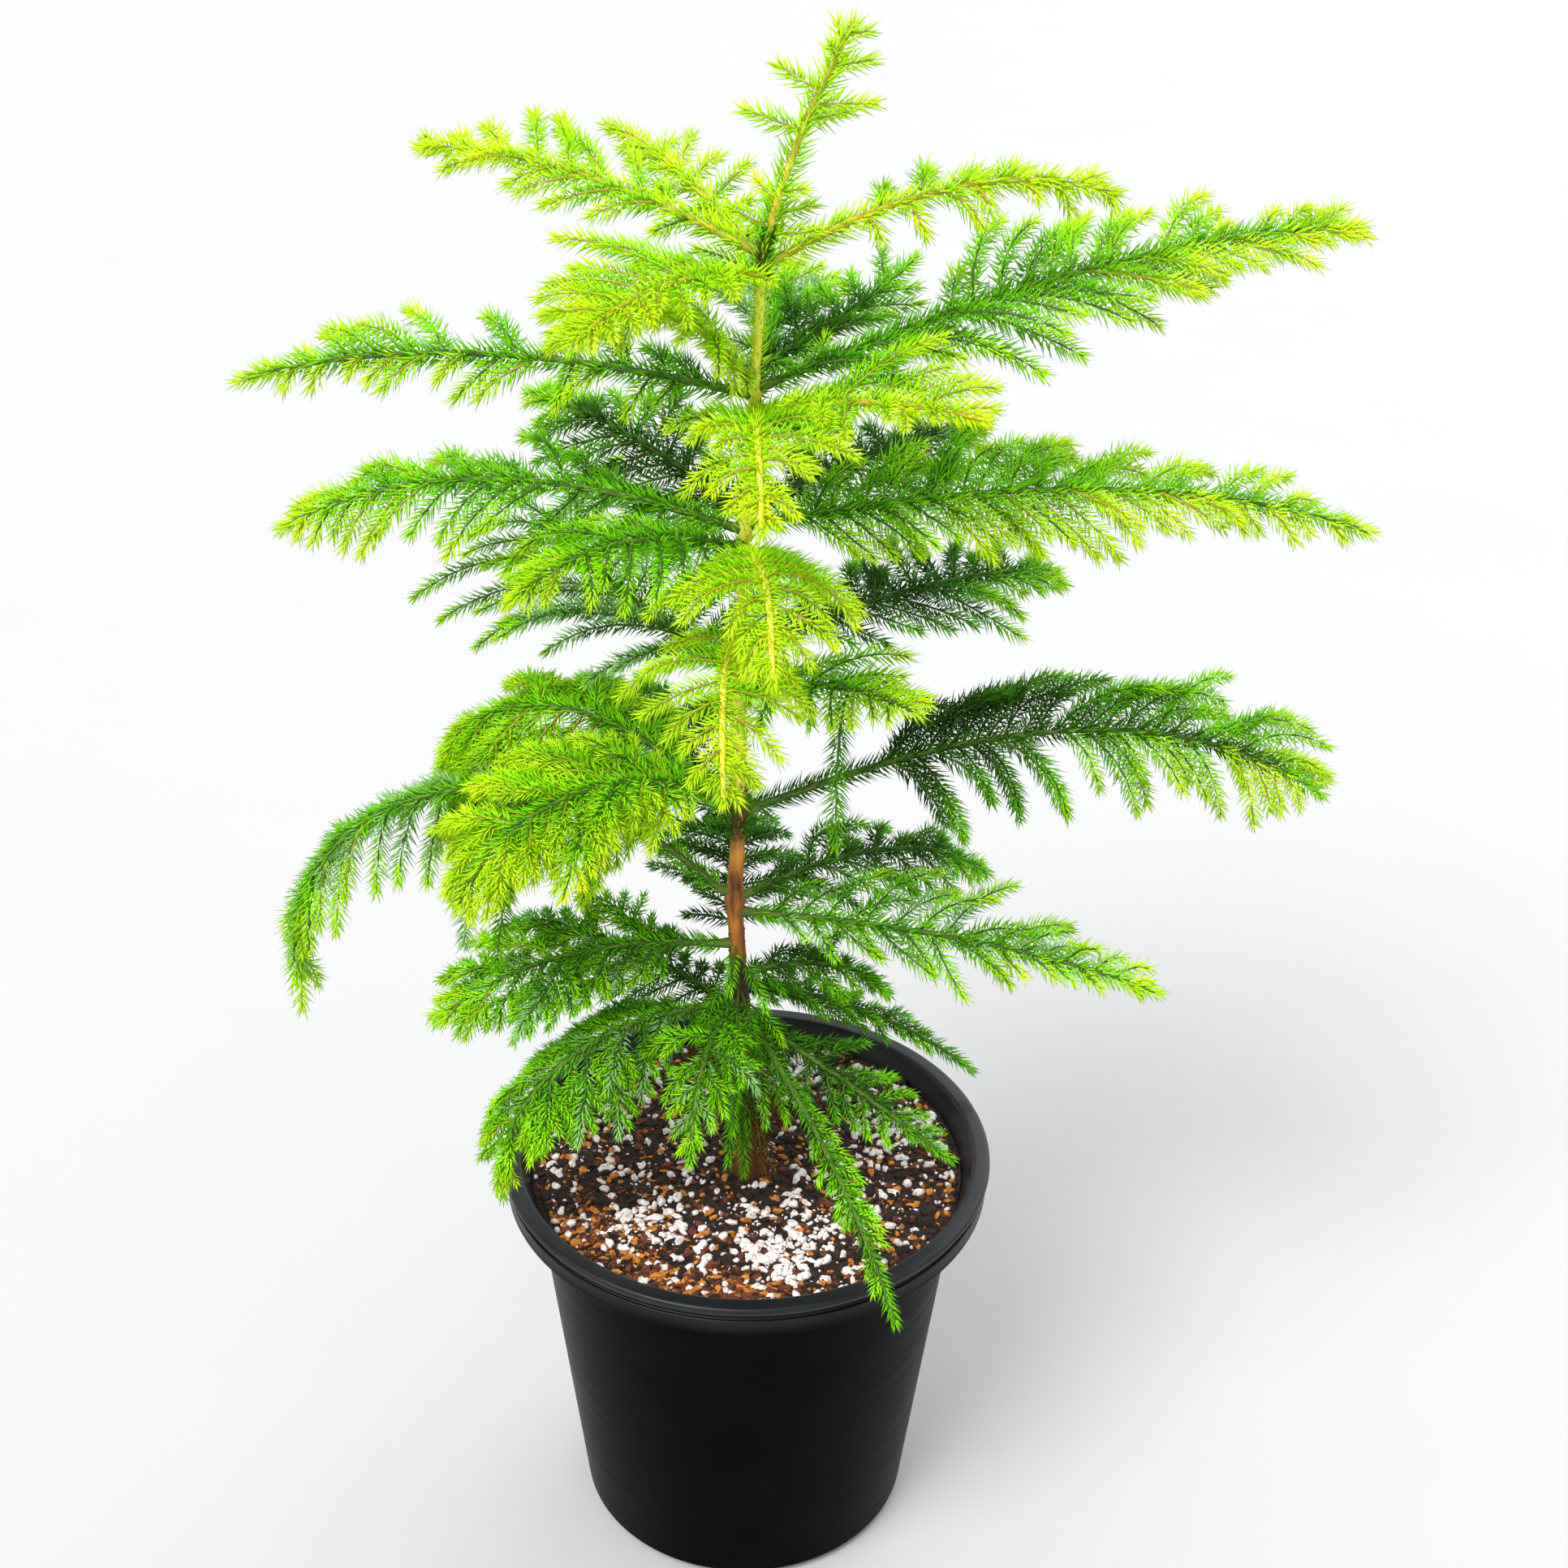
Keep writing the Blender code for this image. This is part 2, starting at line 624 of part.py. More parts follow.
def list_masses():
    masses = []
    for bough in BOUGHS:
        line = bough_line(bough)
        start = bough.bare / bough.length
        if bough.bare:
            start += gap_shares(line)
        rule = (bough.spray, bough.droop, bough.shade, False)
        if bough.name == WEEPING_BOUGH:
            hang = WEEPING_PART + gap_shares(line)
            masses.append(Mass(bough.name, line, start, start, WEEPING_PART, *rule))
            masses.append(Mass(bough.name + HANGING, line, start, hang, 1.0, *rule))
        else:
            masses.append(Mass(bough.name, line, start, start, 1.0, *rule))
    foot = trunk_point(TRUNK_LINE[-1][0]) + Vector((GAP, 0.0, GAP))
    line = arc(foot, 0.0, 0.0, LEADER_LENGTH, LEADER_RISE, 0.0)
    masses.append(Mass("leader", line, 0.0, 0.0, 1.0, LEADER_SPRAY[0], 0, "light", True))
    return masses


def space_lines(masses):
    """The stretch of stem that each mass holds its space round, its bare limb included."""
    lines = []
    for mass in masses:
        last = len(mass.line) - 1
        first = round(mass.start * last) if mass.name.endswith(HANGING) else 0
        stretch = mass.line[first:round(mass.end * last) + 1]
        lines.append(np.array([tuple(point) for point in stretch]))
    return lines


def main():
    clear_scene()
    collection = new_collection("cook_pine")
    materials = make_materials()
    make_pot(collection, materials["pot"])
    make_soil(collection, materials["soil"])

    heights = [height for height, lean in TRUNK_LINE]
    knots = [trunk_point(height) for height in heights]
    trunk = tube("trunk", knots, [trunk_radius(height) for height in heights], resolution=2)
    add_object("trunk", trunk, collection, materials["bark"])

    for bough in BOUGHS:
        if bough.bare:
            make_bough(bough, collection, materials["bark"])

    masses = list_masses()
    lines = space_lines(masses)
    section = twig_section()
    blades = {"long": blade_mesh(LONG_BLADE), "short": blade_mesh(SHORT_BLADE)}
    for own, mass in enumerate(masses):
        make_mass(mass, own, lines, blades, section, collection, materials[mass.shade])
    bpy.data.objects.remove(section, do_unlink=True)


main()
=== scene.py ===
"""The looks of a young cook pine in its nursery pot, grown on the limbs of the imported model.

Metres, +Z up, origin at the middle of the pot's flat underside. Azimuths are degrees from +X
towards +Y, so 270 is the front of the plant.
"""
import math
import random
from collections import namedtuple

import bmesh
import bpy
import numpy as np
from mathutils import Matrix, Vector, noise


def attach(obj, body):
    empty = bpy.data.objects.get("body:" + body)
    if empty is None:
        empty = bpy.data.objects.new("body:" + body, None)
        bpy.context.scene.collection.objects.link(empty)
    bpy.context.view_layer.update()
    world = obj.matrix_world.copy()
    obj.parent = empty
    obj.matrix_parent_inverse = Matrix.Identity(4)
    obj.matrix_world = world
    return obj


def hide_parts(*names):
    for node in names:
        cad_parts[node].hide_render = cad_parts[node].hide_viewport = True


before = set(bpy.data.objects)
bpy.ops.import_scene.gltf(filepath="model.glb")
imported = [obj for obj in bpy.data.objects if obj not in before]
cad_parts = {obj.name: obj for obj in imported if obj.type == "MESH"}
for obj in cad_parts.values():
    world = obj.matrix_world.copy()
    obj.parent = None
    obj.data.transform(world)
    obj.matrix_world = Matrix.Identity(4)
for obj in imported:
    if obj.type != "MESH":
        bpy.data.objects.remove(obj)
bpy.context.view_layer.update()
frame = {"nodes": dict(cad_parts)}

SEED = 11
GAP = 0.0003

# Camera: its place, where it looks, and its lens
CAMERA_PLACE = (0.0, -0.6185, 0.6250)
CAMERA_PITCH = 28.84
CAMERA_YAW = 0.96
CAMERA_ROLL = 0.99
CAMERA_LENS = 52.17
SENSOR_WIDTH = 36.0

# Pot, from the outside in
POT_SEGMENTS = 128
POT_HEIGHT = 0.144
POT_FOOT_RADIUS = 0.057
POT_BODY_TOP_RADIUS = 0.0723
POT_BODY_TOP = 0.133
POT_WALL = 0.0018
POT_FLOOR = 0.003
COLLAR_RADIUS = 0.0815
COLLAR_TOP = 0.1385
GROOVE_RADIUS = 0.0803
LIP_RADIUS = 0.0825
LIP_INNER_RADIUS = 0.0765
LIP_BOTTOM = 0.140
LIP_ROUND = 0.0016
LEDGE_RADIUS = 0.0750
LEDGE_TOP = 0.1355
EDGE_ROUND = 0.0006
POT_SHINE = (0.02, 0.28)

# Soil
SOIL_RADIUS = 0.0749
SOIL_AT_TRUNK = 0.1330
SOIL_AT_WALL = 0.1362
SOIL_BUMP = 0.0022
SOIL_BUMP_SIZE = 0.016
SOIL_FLAT_RADIUS = 0.008
SOIL_RINGS = 72
SOIL_SECTORS = 200
BARK_BITS = 4400
BARK_BIT_SIZE = (0.0006, 0.0021)
PERLITE_GRAINS = 1900
PERLITE_SIZE = (0.0004, 0.0017)
PERLITE_COARSE_FROM = 0.0011
IN_HEAPS = 0.38
PERLITE_HEAPS = (
    (0.009, -0.048, 0.013),
    (0.016, -0.034, 0.018),
    (-0.032, -0.030, 0.015),
    (0.018, 0.052, 0.016),
    (0.056, 0.020, 0.016),
)
BARK_HEAPS = ((-0.050, -0.038, 0.020), (-0.028, -0.058, 0.018), (0.002, -0.067, 0.014))
BARK_KINDS = (("bark_bits_dark", 0.47, ()), ("bark_bits_red", 0.30, BARK_HEAPS), ("bark_bits_tan", 0.23, BARK_HEAPS))

# Trunk: how far its centre line leans to the right at each height, and its radius
TRUNK_LINE = (
    (0.1325, 0.0000),
    (0.1360, 0.0000),
    (0.1680, -0.0009),
    (0.2010, -0.0028),
    (0.2450, -0.0048),
    (0.2750, -0.0034),
    (0.3140, -0.0039),
    (0.3700, -0.0023),
    (0.4120, 0.0001),
    (0.4520, 0.0021),
    (0.4706, 0.0073),
    (0.4870, 0.0131),
)
TRUNK_FOOT_RADIUS = 0.0034
TRUNK_TIP_RADIUS = 0.0012
FLARE_RADIUS = 0.0022
FLARE_HEIGHT = 0.005
GOLDEN_FROM = (0.268, 0.288)
WHORLS = (0.203, 0.242, 0.276, 0.328, 0.370, 0.411, 0.449)
WHORL_SWELLING = 0.0007
WHORL_BREADTH = 0.0035
# Painted shade on the bark: dark bands (height, reach) where limbs crowd at whorls, the one at 0.273 also a dark knot,
# and a dark foot under the crown over FOOT_REACH of the trunk
DARK_BANDS = ((0.210, 0.014), (0.273, 0.013), (0.449, 0.007))
FOOT_REACH = 0.110
BARK_CLEAR = (1.0, 1.0, 1.0)
BARK_PAINTED_SHADE = (0.12, 0.08, 0.06)
BARK_AT_TOP = (0.60, 0.70, 0.55)
SLIMMER_AT_TOP = 0.24

# Boughs
BOUGH_RADIUS = 0.00125
BOUGH_TIP_RADIUS = 0.0006
COLLAR_LENGTH = 0.0015
ARC_STEP = 0.002
ARC_POWER = 1.5

# Branchlets: their heading, how they bend down, and how their length runs along a bough
TWIG_RADIUS = (0.00055, 0.00026)
TWIG_POINTS = 10
TWIG_SIDES = 3
TWIG_FORWARD = (66.0, 46.0)
TWIG_FORWARD_VARIES = 12.0
TWIG_SWEEP = 6.0
TWIG_SWEEP_VARIES = 14.0
TWIG_LIFT_VARIES = 0.24
TWIG_DROOP_VARIES = (0.55, 1.45)
TWIG_STEP_VARIES = (0.65, 1.35)
TWIG_DROOP = 0.08
TWIG_DROOP_PER_DEGREE = 0.0040
TWIG_DROOP_AT_ROOT = 0.2
TWIG_DROOP_GAIN = 1.9
NEAR_SIDE = -0.35
TWIG_LENGTH_VARIES = (0.72, 1.12)
LONGEST_AT = 0.3
LENGTH_AT_START = 0.55
LENGTH_AT_TIP = 0.20
SHORTENING_POWER = 1.3
SHORTER = (1.0, 0.85, 0.7, 0.55, 0.4)
SHORTEST_TWIG = 0.006
SPACE_OVERLAP = 0.010
LIMB_CLEARANCE = 0.0008
POT_CLEARANCE = 0.0012
GOLDEN_ANGLE = math.radians(137.5)

# Needles
NEEDLE_STEP = 0.000275
STEM_NEEDLE_STEP = 0.00021
TRUNK_NEEDLE_STEP = 0.00030
WHORL_NEEDLE_STEP = 0.00011
WHORL_NEEDLES = ((0.264, 0.284), (0.443, 0.457))
NEEDLE_RADIUS = 0.00034
NEEDLE_WIDEST_AT = 0.30
NEEDLE_SPREAD = (66.0, 33.0)
NEEDLE_INCURVE = 0.30
NEEDLE_SHORTER_AT_TIP = 0.36
TIP_CLUSTER = 0.0055
BRIGHT_REACH = 0.016
BRIGHT_STEM_REACH = 0.030
TIP_NEEDLE_REACH = 0.0038
STEM_NEEDLES_FROM = 0.004
TRUNK_NEEDLES_FROM = 0.440
MOST_NEEDLES_IN_A_PIECE = 30000

# Tones of needle from deepest shade to youngest tip, and two that stand apart
TONES = {
    "deep": (0.018, 0.075, 0.005),
    "dark": (0.038, 0.150, 0.005),
    "shaded": (0.076, 0.320, 0.004),
    "mid": (0.145, 0.510, 0.004),
    "fresh": (0.230, 0.660, 0.004),
    "light": (0.340, 0.770, 0.005),
    "young": (0.480, 0.880, 0.006),
    "bright": (0.600, 0.960, 0.010),
    # A pale, bluish green: painted sheen
    "silver": (0.270, 0.560, 0.160),
    "dead": (0.150, 0.062, 0.016),
}
TONE_ORDER = ("deep", "dark", "shaded", "mid", "fresh", "light", "young", "bright")
# Branchlet and stem tones by the bough's shade, partly painted shade (dark) and painted light (light)
SHADE_TONE = {"dark": 1.3, "dull": 2.6, "mid": 3.1, "lively": 3.7, "fresh": 4.3, "light": 4.8}
STEM_TONE = {"dark": 0.8, "dull": 1.8, "mid": 2.9, "lively": 3.0, "fresh": 3.4, "light": 6.6}
YOUNG_TWIG_TONE = 4.0
TIP_TONE = 3.4
# Needles lighter from the trunk outwards: partly young growth, partly painted shade inside the crown
OUTWARD_TONE = 2.2
OUTWARD_TONE_OF = {"4_right": 7.0, "6_left": 3.2, "6_right": 4.0, "7_left": 3.8, "7_right": 4.2}
NEAR_KEPT_OF = {"4_right": 0.75}
SPREADING_OF = {"4_right": 1.0, "6_right": 1.6}
BRIGHT_REACH_OF = {"4_right": 0.026, "6_right": 0.022}
# Needles lighter on the side towards the front, where the key light falls: painted light
NEAR_PAINTED_LIGHT_OF = {"4_right": 1.0, "6_right": 0.8, "7_left": 0.6}
TIP_TONE_SHARE = {"1": 0.48, "2": 0.48, "3": 0.80}
SLOT_OF_TONE = {
    "deep": "needles_dark",
    "dark": "needles_dark",
    "shaded": "needles_dark",
    "mid": "needles_mid",
    "fresh": "needles_mid",
    "silver": "needles_mid",
    "dead": "bark",
    "light": "needles_light",
    "young": "needles_light",
    "bright": "needles_light",
}

# One bough: the height and azimuth where it leaves the trunk, how far it swings sideways, its
# length from the trunk's centre line to the tip of its foliage, its rise at the trunk and how
# much of that it loses by the tip, the bare length before its foliage, the longest branchlet,
# and how light its needles are. That lightness is partly the needles' own tone and partly
# painted: boughs at the back and on the right are darker with painted shade, those at the front
# and top lighter with painted light.
Bough = namedtuple("Bough", "name height azimuth swing length rise droop bare spray shade")

BOUGHS = (
    Bough("1_left", 0.202, 211, 0, 0.122, 18, 122, 0.014, 0.042, "mid"),
    Bough("1_rear_right", 0.206, 66, -95, 0.116, -31, -4, 0.000, 0.026, "dark"),
    Bough("1_front_right", 0.200, 298, 0, 0.121, -14, 37, 0.018, 0.015, "dull"),
    Bough("1_front", 0.204, 250, 16, 0.074, 12, 84, 0.000, 0.030, "dull"),
    Bough("1_right", 0.197, 336, 0, 0.086, -24, 6, 0.000, 0.028, "dark"),
    Bough("1_rear_left", 0.199, 137, 0, 0.104, 8, 64, 0.000, 0.038, "dark"),
    Bough("2_left", 0.226, 191, 0, 0.106, 9, 54, 0.014, 0.044, "mid"),
    Bough("2_right", 0.214, 18, 0, 0.062, 3, 66, 0.000, 0.028, "dark"),
    Bough("2_rear", 0.231, 92, 0, 0.104, 12, 58, 0.000, 0.040, "dark"),
    Bough("3_left", 0.246, 184, 0, 0.195, 46, 152, 0.048, 0.046, "mid"),
    Bough("3_right", 0.243, 32, 0, 0.112, 8, 56, 0.016, 0.042, "dark"),
    Bough("3_front_right", 0.238, 350, 0, 0.140, 1, 19, 0.018, 0.042, "mid"),
    Bough("4_left", 0.274, 163, 0, 0.118, 44, 106, 0.020, 0.052, "fresh"),
    Bough("4_right", 0.275, 16, 0, 0.219, 15, 56, 0.044, 0.052, "dark"),
    Bough("4_front_left", 0.280, 212, 0, 0.114, 33, 104, 0.016, 0.048, "fresh"),
    Bough("4_rear", 0.270, 116, 0, 0.118, 14, 50, 0.000, 0.046, "dark"),
    Bough("5_left", 0.324, 126, 0, 0.114, -2, -24, 0.000, 0.064, "dull"),
    Bough("5_right", 0.330, 42, 0, 0.150, 2, 21, 0.022, 0.046, "dark"),
    Bough("5_front", 0.337, 262, 12, 0.094, 16, 62, 0.000, 0.038, "light"),
    Bough("5_front_right", 0.319, 318, 0, 0.074, 24, 32, 0.000, 0.034, "mid"),
    Bough("6_left", 0.370, 178, 0, 0.144, 18, 51, 0.020, 0.048, "mid"),
    Bough("6_right", 0.371, 10, 0, 0.202, 7, 29, 0.024, 0.050, "lively"),
    Bough("6_rear_right", 0.376, 50, 0, 0.124, 2, 14, 0.016, 0.042, "dark"),
    Bough("6_rear_left", 0.374, 134, 0, 0.104, 16, 24, 0.000, 0.044, "dark"),
    Bough("6_front_left", 0.365, 216, 0, 0.084, 22, 54, 0.000, 0.040, "mid"),
    Bough("6_front", 0.363, 280, -10, 0.090, 20, 58, 0.000, 0.040, "light"),
    Bough("7_left", 0.411, 176, 0, 0.153, 11, 30, 0.018, 0.045, "mid"),
    Bough("7_right", 0.413, 20, 0, 0.202, 17, 21, 0.020, 0.050, "lively"),
    Bough("7_rear", 0.409, 84, 0, 0.110, 8, 8, 0.014, 0.040, "mid"),
    Bough("7_rear_right", 0.419, 51, 0, 0.080, 6, -14, 0.000, 0.034, "dark"),
    Bough("7_front_right", 0.407, 322, 0, 0.082, 18, 20, 0.000, 0.040, "light"),
    Bough("7_front_left", 0.417, 206, 0, 0.074, 52, 100, 0.000, 0.036, "light"),
    Bough("7_front", 0.404, 272, 0, 0.082, 18, 56, 0.000, 0.036, "light"),
    Bough("8_left", 0.452, 166, -8, 0.108, 23, 31, 0.012, 0.042, "light"),
    Bough("8_right", 0.449, 8, 0, 0.106, 28, 48, 0.020, 0.028, "light"),
    Bough("8_front_left", 0.446, 228, 0, 0.078, 12, 42, 0.000, 0.040, "light"),
    Bough("8_rear_left", 0.450, 130, 0, 0.078, 30, 30, 0.000, 0.021, "light"),
)
WEEPING_BOUGH = "3_left"

# Boughs at the front whose stems are as golden as the young trunk, partly their own colour and
# partly painted light on the lit front, and how much stouter they are
SUNLIT = ("5_front", "6_front", "7_front")
SUNLIT_STOUTER = 1.25

# By tier, counted from the soil, or by bough: the spacing of branchlets on each side, how much they
# rise, how much they bend down as against the usual, how far they sweep forward, their needles'
# length, what differs on the side towards the photograph's viewer (the share of the length, the
# factor on the bending down, and the lift that is lost), and the share kept on the other side
Tier = namedtuple("Tier", "step lift droop sweep needle near kept", defaults=((0.85, 1.4, 0.22), 1.0))

TIERS = {
    "1": Tier(0.0068, 0.10, 1.0, -22.0, 0.0042),
    "2": Tier(0.0072, 0.16, 1.0, -26.0, 0.0046),
    "3": Tier(0.0080, 0.20, 1.0, -34.0, 0.0050),
    "4": Tier(0.0080, 0.30, 1.1, -38.0, 0.0052),
    "5": Tier(0.0078, 0.20, 0.9, -20.0, 0.0052),
    "6": Tier(0.0078, 0.16, 1.3, -22.0, 0.0053),
    "7": Tier(0.0082, 0.34, 0.7, -12.0, 0.0053),
    "8": Tier(0.0084, 0.38, 0.6, -10.0, 0.0052),
    "8_left": Tier(0.0104, 0.34, 0.7, -6.0, 0.0052),
    "8_right": Tier(0.0116, 0.30, 1.5, -14.0, 0.0057, (0.72, 2.2, 0.35)),
    "8_rear_left": Tier(0.0090, 0.30, 0.6, 4.0, 0.0052),
    "8_front_left": Tier(0.0080, 0.38, 0.6, -6.0, 0.0052, (0.70, 1.4, 0.22)),
    "7_right": Tier(0.0070, 0.32, 0.6, -24.0, 0.0056, (0.95, 2.4, 0.25), 0.62),
    "7_left": Tier(0.0104, 0.36, 0.7, -14.0, 0.0056, (0.58, 3.8, 0.45), 0.85),
    "6_left": Tier(0.0084, 0.24, 1.0, -22.0, 0.0053, (0.85, 2.4, 0.30)),
    "6_right": Tier(0.0050, 0.32, 0.9, -32.0, 0.0053, (0.70, 2.6, 0.34), 0.90),
    "5_left": Tier(0.0078, 0.40, 2.8, 24.0, 0.0042, (1.15, 1.2, 0.0)),
    "5_front": Tier(0.0088, 0.20, 0.9, -10.0, 0.0052),
    "4_left": Tier(0.0064, 0.04, 1.4, -26.0, 0.0052, (1.55, 1.8, 0.30)),
    "4_front_left": Tier(0.0074, 0.30, 0.9, -26.0, 0.0052),
    "4_right": Tier(0.0046, 0.46, 0.7, -30.0, 0.0052, (0.70, 7.0, 0.50)),
    "3_front_right": Tier(0.0082, 0.34, 0.8, -34.0, 0.0050, (0.70, 2.4, 0.30)),
    "3_left": Tier(0.0086, 0.20, 1.2, -16.0, 0.0052, (1.0, 2.6, 0.20)),
    "1_front_right": Tier(0.0062, 0.10, 1.0, -30.0, 0.0040),
}
SPACING_FACTOR = {
    "1_front": 1.35,
    "3_right": 1.15,
    "5_right": 1.10,
    "6_rear_right": 1.25,
    "7_rear": 1.45,
    "7_rear_right": 1.30,
    "6_front": 1.20,
    "7_front": 0.85,
    "8_front_left": 0.85,
}
LENGTH_AT_TIP_OF = {"1_front_right": 0.60, "3_left": 0.40, "4_right": 0.20, "5_left": 0.70, "8_right": 0.45}
LENGTH_AT_START_OF = {"4_right": 0.95, "6_right": 0.80, "7_right": 0.75}
SHORTENING_OF = {"4_right": 3.0}
FORWARD_OF = {"4_right": -18.0}
START_OF = {"3_right": 0.008, "3_front_right": 0.008, "6_right": 0.012, "7_left": 0.012, "7_right": 0.014}
SPACE_OVERLAP_OF = {"4_left": 0.034, "4_front_left": 0.018, "4_right": 0.025, "5_left": 0.040}

# Boughs whose branchlets branch once more, and how those sprigs stand
# Share of each bough's branchlets whose mid and fresh needles take the pale painted sheen
PAINTED_SHEEN_SHARE = {
    "1_front": 0.60,
    "1_left": 0.55,
    "2_left": 0.50,
    "3_left": 0.70,
    "3_front_right": 0.25,
    "5_left": 0.85,
    "6_rear_right": 0.55,
    "7_rear": 0.55,
}
DIVIDED = ("1_left", "1_front", "2_left", "4_left", "4_front_left")
SPRIG_STEP = 0.0065
SPRIG_ANGLE = 48.0
SPRIG_SHARE = 0.42
SPRIG_LONGEST = 0.016

# Long twigs that hang from a bough's near side: the bough, the share of its length and their length
HANGING_TWIGS = (
    ("3_left", 0.38, 0.062),
    ("3_left", 0.44, 0.056),
    ("5_front_right", 0.62, 0.052),
)
HANGING_ANGLE = 60.0
HANGING_SWEEP = -20.0
HANGING_DROOP = 3.0
HANGING_SHADE = 0.8

# The leading shoot above the trunk, and the twigs on both: share of the length from the highest
# whorl to the shoot's tip, azimuth, angle off the stem and length
LEADER_LENGTH = 0.0285
LEADER_RISE = 65.0
LEADER_FROM = 0.455
LEADER_TWIGS = (
    (0.02, 350, 62, 0.019),
    (0.05, 200, 70, 0.018),
    (0.08, 90, 66, 0.017),
    (0.11, 20, 60, 0.016),
    (0.16, 140, 64, 0.014),
    (0.22, 320, 60, 0.012),
    (0.50, 190, 84, 0.021),
    (0.54, 30, 62, 0.018),
    (0.62, 345, 56, 0.021),
    (0.68, 176, 80, 0.017),
    (0.72, 80, 58, 0.014),
    (0.80, 10, 54, 0.015),
    (0.84, 230, 60, 0.011),
    (0.90, 140, 50, 0.010),
    (0.94, 350, 48, 0.010),
)
LEADER_TWIG_TONE = 5.4
LEADER_NEEDLE = 0.0056

# Shoots on the trunk's foot: height, azimuth, length and cast
TRUNK_SHOOTS = (
    (0.210, 268, 0.058, ""),
    (0.205, 283, 0.052, ""),
    (0.181, 262, 0.044, ""),
    (0.176, 282, 0.042, "dead"),
    (0.170, 270, 0.038, ""),
    (0.165, 292, 0.034, "dead"),
    (0.201, 256, 0.050, ""),
    (0.198, 296, 0.046, ""),
    (0.226, 262, 0.024, ""),
    (0.221, 300, 0.026, ""),
    (0.214, 232, 0.028, ""),
    (0.209, 284, 0.034, ""),
    (0.204, 322, 0.026, ""),
    (0.199, 268, 0.036, ""),
    (0.194, 196, 0.026, "dead"),
    (0.189, 296, 0.032, "dead"),
    (0.184, 248, 0.030, "dead"),
    (0.178, 276, 0.030, ""),
    (0.172, 318, 0.024, "dead"),
    (0.166, 258, 0.022, "dead"),
    (0.196, 90, 0.026, ""),
    (0.186, 40, 0.024, "dead"),
)
SHOOT_ANGLE = 78.0
SHOOT_DROOP = 0.9

# A twig: its points from root to tip, its radius at both ends, the tone of its needles, how much
# lighter its tip is and how far that reaches, the share of its length where needles begin, their
# length, and a cast of colour that sets it apart; the two casts are a pale painted sheen and the brown of dead needles
Twig = namedtuple("Twig", "points radii tone tip bright first needle cast step", defaults=("", NEEDLE_STEP))


def unit(vectors):
    return vectors / np.maximum(np.linalg.norm(vectors, axis=-1, keepdims=True), 1e-9)


def mesh_of(name, points, *faces):
    """A mesh of points and of arrays of faces, where each array holds faces of one size."""
    mesh = bpy.data.meshes.new(name)
    corners = np.concatenate([array.ravel() for array in faces]).astype(np.int32)
    sizes = np.concatenate([np.full(len(array), array.shape[1]) for array in faces])
    starts = np.concatenate([[0], np.cumsum(sizes)[:-1]]).astype(np.int32)
    mesh.vertices.add(len(points))
    mesh.vertices.foreach_set("co", np.ascontiguousarray(points, np.float32).ravel())
    mesh.loops.add(len(corners))
    mesh.loops.foreach_set("vertex_index", corners)
    mesh.polygons.add(len(starts))
    mesh.polygons.foreach_set("loop_start", starts)
    mesh.update(calc_edges=True)
    mesh.validate()
    return mesh


def add_piece(name, mesh, material, slot, *replaced):
    """Put a mesh in the scene as a piece that rides on the plant and stands for CAD nodes."""
    piece = bpy.data.objects.new(name, mesh)
    bpy.context.scene.collection.objects.link(piece)
    mesh.materials.append(material)
    mesh.shade_smooth()
    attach(piece, "root")
    if replaced:
        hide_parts(*replaced)
    return piece


# Materials


def start_material(name, roughness):
    """A Principled material and its nodes, with object coordinates to lay patterns on."""
    material = bpy.data.materials.new(name)
    material.use_nodes = True
    nodes = material.node_tree.nodes
    shader = nodes["Principled BSDF"]
    shader.inputs["Roughness"].default_value = roughness
    place = nodes.new("ShaderNodeTexCoord").outputs["Object"]
    return material, shader, place


def add_noise(material, place, scale, detail=3.0, stretch=None):
    """A noise pattern; stretch scales the three axes apart."""
    tree = material.node_tree
    if stretch:
        mapping = tree.nodes.new("ShaderNodeMapping")
        mapping.inputs["Scale"].default_value = stretch
        tree.links.new(place, mapping.inputs["Vector"])
        place = mapping.outputs["Vector"]
    pattern = tree.nodes.new("ShaderNodeTexNoise")
    pattern.inputs["Scale"].default_value = scale
    pattern.inputs["Detail"].default_value = detail
    tree.links.new(place, pattern.inputs["Vector"])
    return pattern.outputs["Fac"]


def add_ramp(material, value, *stops):
    """A colour ramp from (position, colour) stops."""
    ramp = material.node_tree.nodes.new("ShaderNodeValToRGB")
    elements = ramp.color_ramp.elements
    for index, (position, colour) in enumerate(stops):
        element = elements[index] if index < 2 else elements.new(position)
        element.position = position
        element.color = (*colour, 1.0)
    material.node_tree.links.new(value, ramp.inputs["Fac"])
    return ramp.outputs["Color"]


def add_range(material, value, low, high):
    """A value spread from low to high, for roughness."""
    spread = material.node_tree.nodes.new("ShaderNodeMapRange")
    spread.inputs["To Min"].default_value = low
    spread.inputs["To Max"].default_value = high
    material.node_tree.links.new(value, spread.inputs["Value"])
    return spread.outputs["Result"]


def add_height(material, place, from_height, to_height, low=0.0, high=1.0):
    """A value that goes from low to high between two heights."""
    parts = material.node_tree.nodes.new("ShaderNodeSeparateXYZ")
    material.node_tree.links.new(place, parts.inputs["Vector"])
    spread = material.node_tree.nodes.new("ShaderNodeMapRange")
    spread.inputs["From Min"].default_value = from_height
    spread.inputs["From Max"].default_value = to_height
    spread.inputs["To Min"].default_value = low
    spread.inputs["To Max"].default_value = high
    material.node_tree.links.new(parts.outputs["Z"], spread.inputs["Value"])
    return spread.outputs["Result"]


